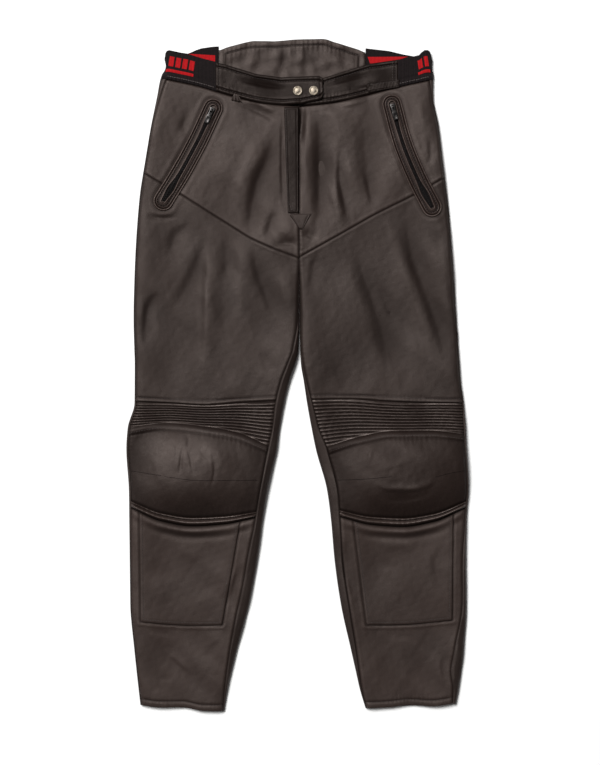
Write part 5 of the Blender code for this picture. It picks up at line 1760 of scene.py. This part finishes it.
def apply_bevel(piece, width, segments=3, angle=30.0):
    limit = {"limit_method": "ANGLE", "angle_limit": math.radians(angle)}
    finish_with(piece, "BEVEL", width=width * MM, segments=segments, **limit)


def cut_or_join(piece, other, operation):
    finish_with(piece, "BOOLEAN", operation=operation, solver="EXACT", object=other)
    bpy.data.objects.remove(other, do_unlink=True)


def settle(piece, matrix, node, ending, finish, body="trousers"):
    """Put a shaped piece in its place in the garment, with its place in its mesh."""
    piece.data.transform(matrix)
    piece.name = f"{node}_{ending}"
    piece.data.name = piece.name
    piece.data.materials.clear()
    piece.data.materials.append(finish)
    bpy.ops.object.select_all(action="DESELECT")
    piece.select_set(True)
    bpy.context.view_layer.objects.active = piece
    bpy.ops.object.shade_smooth_by_angle(angle=math.radians(SMOOTH_METAL))
    return attach(piece, [node], body)


SLIDER_TAPER = 0.68    # its lower end's width as a share of its upper end's
BRIDGE_RADIUS = 3.0
BRIDGE_THREAD = 0.6
BRIDGE_STRETCH = (1.067, 1.0, 1.6)


def make_slider(half):
    """A tapered, rounded slider body with an arched bridge."""
    body = start_box((SLIDER_WIDTH, SLIDER_LENGTH, SLIDER_HEIGHT), (0.0, 0.0, SLIDER_HEIGHT / 2))
    for vertex in body.data.vertices:
        if vertex.co.y < 0.0:
            vertex.co.x *= SLIDER_TAPER
    apply_bevel(body, 0.75)
    bpy.ops.object.select_all(action="DESELECT")
    bpy.ops.mesh.primitive_torus_add(
        major_radius=BRIDGE_RADIUS * MM, minor_radius=BRIDGE_THREAD * MM,
        major_segments=28, minor_segments=10,
        location=(0.0, 0.0, SLIDER_HEIGHT * MM), rotation=LENGTHWISE,
    )
    arch = bpy.context.object
    arch.scale = BRIDGE_STRETCH
    bpy.ops.object.transform_apply(location=True, rotation=True, scale=True)
    cut_or_join(body, arch, "UNION")
    return settle(body, zip_matrix(half), f"pocket_slider_{half.name}", "cast", PULL_METAL)


PULL_BACK = 0.7        # how far the tab reaches behind its hinge
PULL_NECK = 0.75       # widths as shares of the tab's
PULL_TIP = 0.86
PULL_STEPS = (-6.4, -9.4)
WINDOW_SIZE = (3.6, 4.7, 4.0)
WINDOW_PLACE = (0.0, -3.05, 0.0)
RECESS_SIZE = (4.4, 8.6, 0.8)
RECESS_Y = -14.6


def make_pull(half):
    """A flat tab with a window that its bar closes, and a long recess in its handle."""
    reach = PULL_LENGTH + PULL_BACK
    tab = start_box((PULL_WIDTH, reach, PULL_THICKNESS), (0.0, PULL_BACK - reach / 2, 0.0))
    cut_across([(0.0, y * MM, 0.0) for y in PULL_STEPS], (0.0, 1.0, 0.0))
    for vertex in tab.data.vertices:
        if vertex.co.y > -7.0 * MM:
            vertex.co.x *= PULL_NECK
        if vertex.co.y < -20.0 * MM:
            vertex.co.x *= PULL_TIP
    apply_bevel(tab, 0.32, 2)
    cut_or_join(tab, start_box(WINDOW_SIZE, WINDOW_PLACE), "DIFFERENCE")
    for side in (-1.0, 1.0):
        recess = start_box(RECESS_SIZE, (0.0, RECESS_Y, side * RECESS_SIZE[2]))
        apply_bevel(recess, 0.3, 2)
        cut_or_join(tab, recess, "DIFFERENCE")
    hinge = zip_matrix(half) @ Matrix.Translation((0.0, 0.0, (SLIDER_HEIGHT + BRIDGE_CLEAR / 2) * MM))
    hinge = hinge @ Matrix.Rotation(math.radians(PULL_REST_DEGREES), 4, "X")
    return settle(tab, hinge, f"pocket_pull_{half.name}", "cast", PULL_METAL, f"pull_{half.name}")


TOOTH_SIZE = (2.9, 1.15, 1.1)
TOOTH_PITCH = 1.75
TOOTH_ASIDE = 0.75
TOOTH_LEVEL = 1.0


def level_at(x, y):
    """The front's height at one place."""
    return float(front_level(np.array([x]), np.array([y]))[0])


def make_teeth(half):
    """The closed zip: teeth that mesh down its middle."""
    tooth = start_box(TOOTH_SIZE, (0.0, 0.0, 0.0))
    apply_bevel(tooth, 0.22, 1)
    frames = []
    count = int(path_length(half.zip) / TOOTH_PITCH)
    for k in range(count):
        t = (k + 0.5) / count
        x, y = beside(half.zip, t, TOOTH_ASIDE if k % 2 else -TOOTH_ASIDE)
        _, (run_x, run_y) = path_at(half.zip, t)
        place = Vector((x, y, level_at(x, y) + TOOTH_LEVEL)) * MM
        frames.append(frame_at((-run_y, run_x, 0.0), (-run_x, -run_y, 0.0), (0.0, 0.0, 1.0), place))
    copies(f"zip_teeth_{half.name}", tooth, frames, ZIP_METAL)
    bpy.data.objects.remove(tooth, do_unlink=True)


SNAP_DISC = 1.5
SNAP_LEVEL = 0.45
SNAP_RINGS = [(0.9, 0.75), (0.9, 0.0), (0.7, -0.6), (1.4, 0.25), (1.5, 0.35), (1.0, 0.1)]   # step in, step up


def make_snap(name, spot):
    """A snap's cap: a rim round a hollow with a low dome."""
    size = {"radius": SNAP_RADIUS * MM, "depth": SNAP_DISC * MM, "location": (0.0, 0.0, SNAP_DISC / 2 * MM)}
    cap = primitive(bpy.ops.mesh.primitive_cylinder_add, vertices=48, **size)
    bpy.ops.object.mode_set(mode="EDIT")
    bpy.ops.mesh.select_mode(type="FACE")
    bpy.ops.mesh.select_all(action="DESELECT")
    bpy.ops.object.mode_set(mode="OBJECT")
    for face in cap.data.polygons:
        face.select = face.normal.z > 0.9
    bpy.ops.object.mode_set(mode="EDIT")
    for inwards, upwards in SNAP_RINGS:
        bpy.ops.mesh.inset(thickness=inwards * MM)
        bpy.ops.transform.translate(value=(0.0, 0.0, upwards * MM))
    bpy.ops.object.mode_set(mode="OBJECT")
    apply_bevel(cap, 0.18, 2, 25.0)
    z = level_at(spot.x, spot.y) + float(lap_rise(spot.x)) + SNAP_LEVEL
    place = Matrix.Translation(Vector((spot.x, spot.y, z)) * MM)
    settle(cap, place, f"snap_cap_{name}", "turned", SNAP_METAL)


def seam_line(half, seam, offset):
    """A line beside a seam across the leg, offset down the leg."""
    across = np.linspace(0.01, 0.99, 60)
    y = seam_level(half, seam, across) - offset
    return np.stack([seam_x(half, y, across), y], axis=1)


def patch_line(half):
    """The stitches inside the patch's sides and bottom."""
    a, b, c, d = path_points(half.patch)
    t = np.linspace(0.0, 1.0, 30)
    x = d[0] + t * (c[0] - d[0])
    y = d[1] + t * (c[1] - d[1]) - PATCH_BOTTOM_DIP * np.sin(math.pi * t) + PATCH_STITCH
    bottom = np.stack([x, y], axis=1)
    shift = np.array([-half.sign * PATCH_STITCH, 0.0])
    bottom[0] += shift
    bottom[-1] -= shift
    return np.concatenate([[a + shift], bottom, [b - shift]])


def welt_line(half):
    """The stitched groove round the pocket's frame."""
    length = path_length(half.zip)
    width = WELT_HALF_WIDTH - WELT_SEAM
    turns = np.linspace(0.2, 2.9, 9)
    line = [beside(half.zip, t, width) for t in np.linspace(0.0, 1.0, 24)]
    line += [beside(half.zip, 1.0 + math.sin(a) * width / length, math.cos(a) * width) for a in turns]
    line += [beside(half.zip, t, -width) for t in np.linspace(1.0, 0.0, 24)]
    line += [beside(half.zip, -math.sin(a) * width / length, -math.cos(a) * width) for a in turns]
    return np.array(line)


def band_low_line(half, start, end):
    """Stitches above the waistband's lower edge."""
    x = np.linspace(start, end, 70)
    return np.stack([x, band_bottom(half, x, waist_seam_y(half, x)) + BAND_STITCH], axis=1)


def offset_edge(edge, start, end, drop, count=70):
    x = np.linspace(start, end, count)
    return np.stack([x, edge_at(edge, x) - drop], axis=1)


def stitch_half(half, front, patch, welt, backs, model):
    """The topstitching of one half's front and back."""
    name = half.name
    rows = [
        ("hem", front["shin"], seam_line(half, "hem", -HEM_STITCH)),
        ("thigh", front["thigh"], seam_line(half, "thigh", -THIGH_STITCH)),
        ("knee_top", front["knee"], seam_line(half, "knee_top", KNEE_STITCH)),
        ("patch", patch, patch_line(half)),
        ("welt", welt, welt_line(half)),
    ]
    for label, piece, line in rows:
        copies(f"{label}_stitches_{name}", model, stitch_frames([piece], line), DARK_THREAD)
    lines = [line_through(path) for path in DARTS[name]]
    darts = [frame for line in lines for frame in stitch_frames([front["knee"]], line, step=DART_STEP)]
    copies(f"dart_stitches_{name}", model, darts, DART_THREAD)
    sign = half.sign
    low = seat_bottom(half)
    centre = [(CENTRE_X + sign * BACK_STITCH, y) for y in CENTRE_ROW]
    edge = float(along(half.outline, "outer", low)) - sign * 8.0
    join = [(edge, low + BACK_STITCH), (CENTRE_X + sign * 6.0, CROTCH_Y + BACK_STITCH)]
    frames = stitch_frames(backs, centre, -1.0) + stitch_frames(backs, join, -1.0)
    copies(f"back_stitches_{name}", model, frames, DARK_THREAD)


def elastic_stitches(half, piece, model):
    """The worn thread along the elastic's gathered bottom edge."""
    edge = float(along(half.outline, "outer", 470.0)) - half.sign * 5.0
    x = np.linspace(elastic_parts(half)[2] + half.sign * 2.0, edge, 50)
    y, _ = elastic_front(half, x, np.full(x.shape, 0.10))
    frames = stitch_frames([piece], np.stack([x, y], axis=1), step=ELASTIC_STITCH_STEP)
    copies(f"elastic_stitches_{half.name}", model, frames, PALE_THREAD)


def build_elastic(half):
    name = half.name
    how = {"ending": "knit", "wall": ELASTIC_WALL, "up": 0.0}
    piece = sewn(f"elastic_{name}", elastic_shape(half), 230, 26, BLACK_KNIT, "elastic", **how)
    for k, bar in enumerate(RED_BARS[name], 1):
        cloth(f"red_bar_{k}_{name}", red_front_shape(half, *bar), 14, 24, RED_KNIT, "elastic", wall=RED_WALL)
    stripe = red_back_shape(RED_INSIDE[name])
    cloth(f"red_inside_{name}", stripe, 60, 8, RED_KNIT, "elastic", wall=RED_WALL)
    return piece


def build_half(half, model):
    name = half.name
    front = front_panels(half)
    leg = sewn(f"back_leg_{name}", back_leg_shape(half), 84, 140, LEATHER, up=-1.0)
    seat = sewn(f"seat_{name}", seat_shape(half), 84, 76, LEATHER, up=-1.0)
    patch = sewn(f"shin_patch_{name}", shin_patch_shape(half), 72, 74, PATCH_LEATHER, wall=PATCH_SHELL)
    welt = sewn(f"pocket_welt_{name}", welt_shape(half), 200, 30, WELT_LEATHER, wall=WELT_SHELL, ring=True)
    node = f"pocket_zip_{name}"
    cloth(f"zip_tape_{name}", zip_tape_shape(half), 8, 80, ZIP_TAPE, "zip", [node], wall=TAPE_WALL)
    make_teeth(half)
    make_slider(half)
    make_pull(half)
    elastic = build_elastic(half)
    stitch_half(half, front, patch, welt, [seat, leg], model)
    elastic_stitches(half, elastic, model)


def build_waist(model):
    band = {"wall": BAND_SHELL}
    shape = band_shape(RIGHT, RIGHT_BAND_TOP, BAND_END_RIGHT, RIGHT_BAND_TOP[-1].x)
    right_band = sewn("waistband_right", shape, 150, 36, TRIM_LEATHER, **band)
    shape = band_shape(LEFT, LEFT_BAND_TOP, LEFT_BAND_TOP[0].x, BAND_END_LEFT)
    left_band = sewn("waistband_left", shape, 140, 34, TRIM_LEATHER, **band)
    yoke = sewn("back_yoke", yoke_shape, 150, 44, INSIDE_LEATHER, wall=YOKE_WALL)
    thin = {"wall": STRIP_SHELL}
    strip = sewn("fly_placket", strip_shape(FLY_STRIP, 3.0), 24, 90, TRIM_LEATHER, **thin)
    sewn("fly_tab", strip_shape(FLY_TAB, 2.0), 24, 18, LEATHER, **thin)
    sewn("belt_loop_stub", strip_shape(LOOP_STUB, 9.0, pleats=0.9), 30, 16, LEATHER, **thin)
    tab = sewn("side_tab", strip_shape(SIDE_TAB, 1.6, quilt=0.35), 48, 16, TRIM_LEATHER, **thin)
    fly_line = [(-18.0, 413.0), (-16.6, 330.0), (-14.5, 268.0), (-9.0, 256.0), (-2.0, 253.5)]
    rows = [
        ("right_band_stitches", right_band, offset_edge(RIGHT_BAND_TOP, *RIGHT_BAND_ROW, BAND_STITCH)),
        ("right_band_low_stitches", right_band, band_low_line(RIGHT, *RIGHT_BAND_ROW)),
        ("right_band_end_stitches", right_band, [(-122.2, 479.0), (-122.2, 446.0)]),
        ("left_band_stitches", left_band, offset_edge(LEFT_BAND_TOP, *LEFT_BAND_ROW, BAND_STITCH)),
        ("left_band_low_stitches", left_band, band_low_line(LEFT, *LEFT_BAND_ROW)),
        ("left_band_end_stitches", left_band, [(151.3, 484.0), (151.3, 456.0)]),
        ("left_band_end_stitches_2", left_band, [(147.5, 484.0), (147.5, 456.0)]),
        ("yoke_stitches", yoke, offset_edge(YOKE_TOP, -112.0, 96.0, YOKE_STITCH_INSET, 80)),
        ("placket_stitches", strip, fly_line),
        ("tab_stitches", tab, [(107.5, 449.0), (157.0, 456.0)]),
    ]
    for label, piece, line in rows:
        copies(label, model, stitch_frames([piece], line), DARK_THREAD)
    for name, spot in SNAP_PLACES.items():
        make_snap(name, spot)


SOFTBOX_PLACE = (-2.5, 3.0, 6.4)
SOFTBOX_SIZE = 3.4
SOFTBOX_ENERGY = 790.0
ROOM_COLOUR = (1.0, 0.98, 0.96, 1.0)
ROOM_STRENGTH = 0.12
FLOOR_COLOUR = (0.93, 0.93, 0.925, 1.0)
FLOOR_LEVEL = -0.0004


def build_stage():
    """A plain pale floor and one large soft light from the upper left."""
    floor = primitive(bpy.ops.mesh.primitive_plane_add, size=12.0, location=(0.0, 0.0, FLOOR_LEVEL))
    floor.name = "floor"
    made, _, shader, _ = new_material("pale_floor")
    feed(shader, Base_Color=FLOOR_COLOUR, Roughness=0.9)
    floor.data.materials.append(made)
    world = bpy.data.worlds.new("studio")
    bpy.context.scene.world = world
    world.use_nodes = True
    feed(world.node_tree.nodes["Background"], Color=ROOM_COLOUR, Strength=ROOM_STRENGTH)
    lamp = bpy.data.lights.new("softbox", "AREA")
    lamp.size = SOFTBOX_SIZE
    lamp.energy = SOFTBOX_ENERGY
    holder = bpy.data.objects.new("softbox", lamp)
    holder.location = SOFTBOX_PLACE
    holder.rotation_euler = (-Vector(SOFTBOX_PLACE)).to_track_quat("-Z", "Y").to_euler()
    bpy.context.collection.objects.link(holder)


CAMERA_AIM = (0.0039, -0.0120)
CAMERA_HEIGHT = 2.81
CAMERA_LENS = 85.0
CAMERA_SENSOR = 36.0


def build_camera():
    """A camera that looks straight down."""
    data = bpy.data.cameras.new("camera")
    data.lens = CAMERA_LENS
    data.sensor_fit = "VERTICAL"
    data.sensor_height = CAMERA_SENSOR
    camera = bpy.data.objects.new("camera", data)
    camera.location = (*CAMERA_AIM, CAMERA_HEIGHT)
    bpy.context.collection.objects.link(camera)
    bpy.context.scene.camera = camera


def build():
    build_camera()
    build_stage()
    model = stitch_model()
    for half in HALVES:
        build_half(half, model)
    build_waist(model)
    bpy.data.objects.remove(model, do_unlink=True)
    bpy.context.scene.view_settings.view_transform = "Standard"


build()
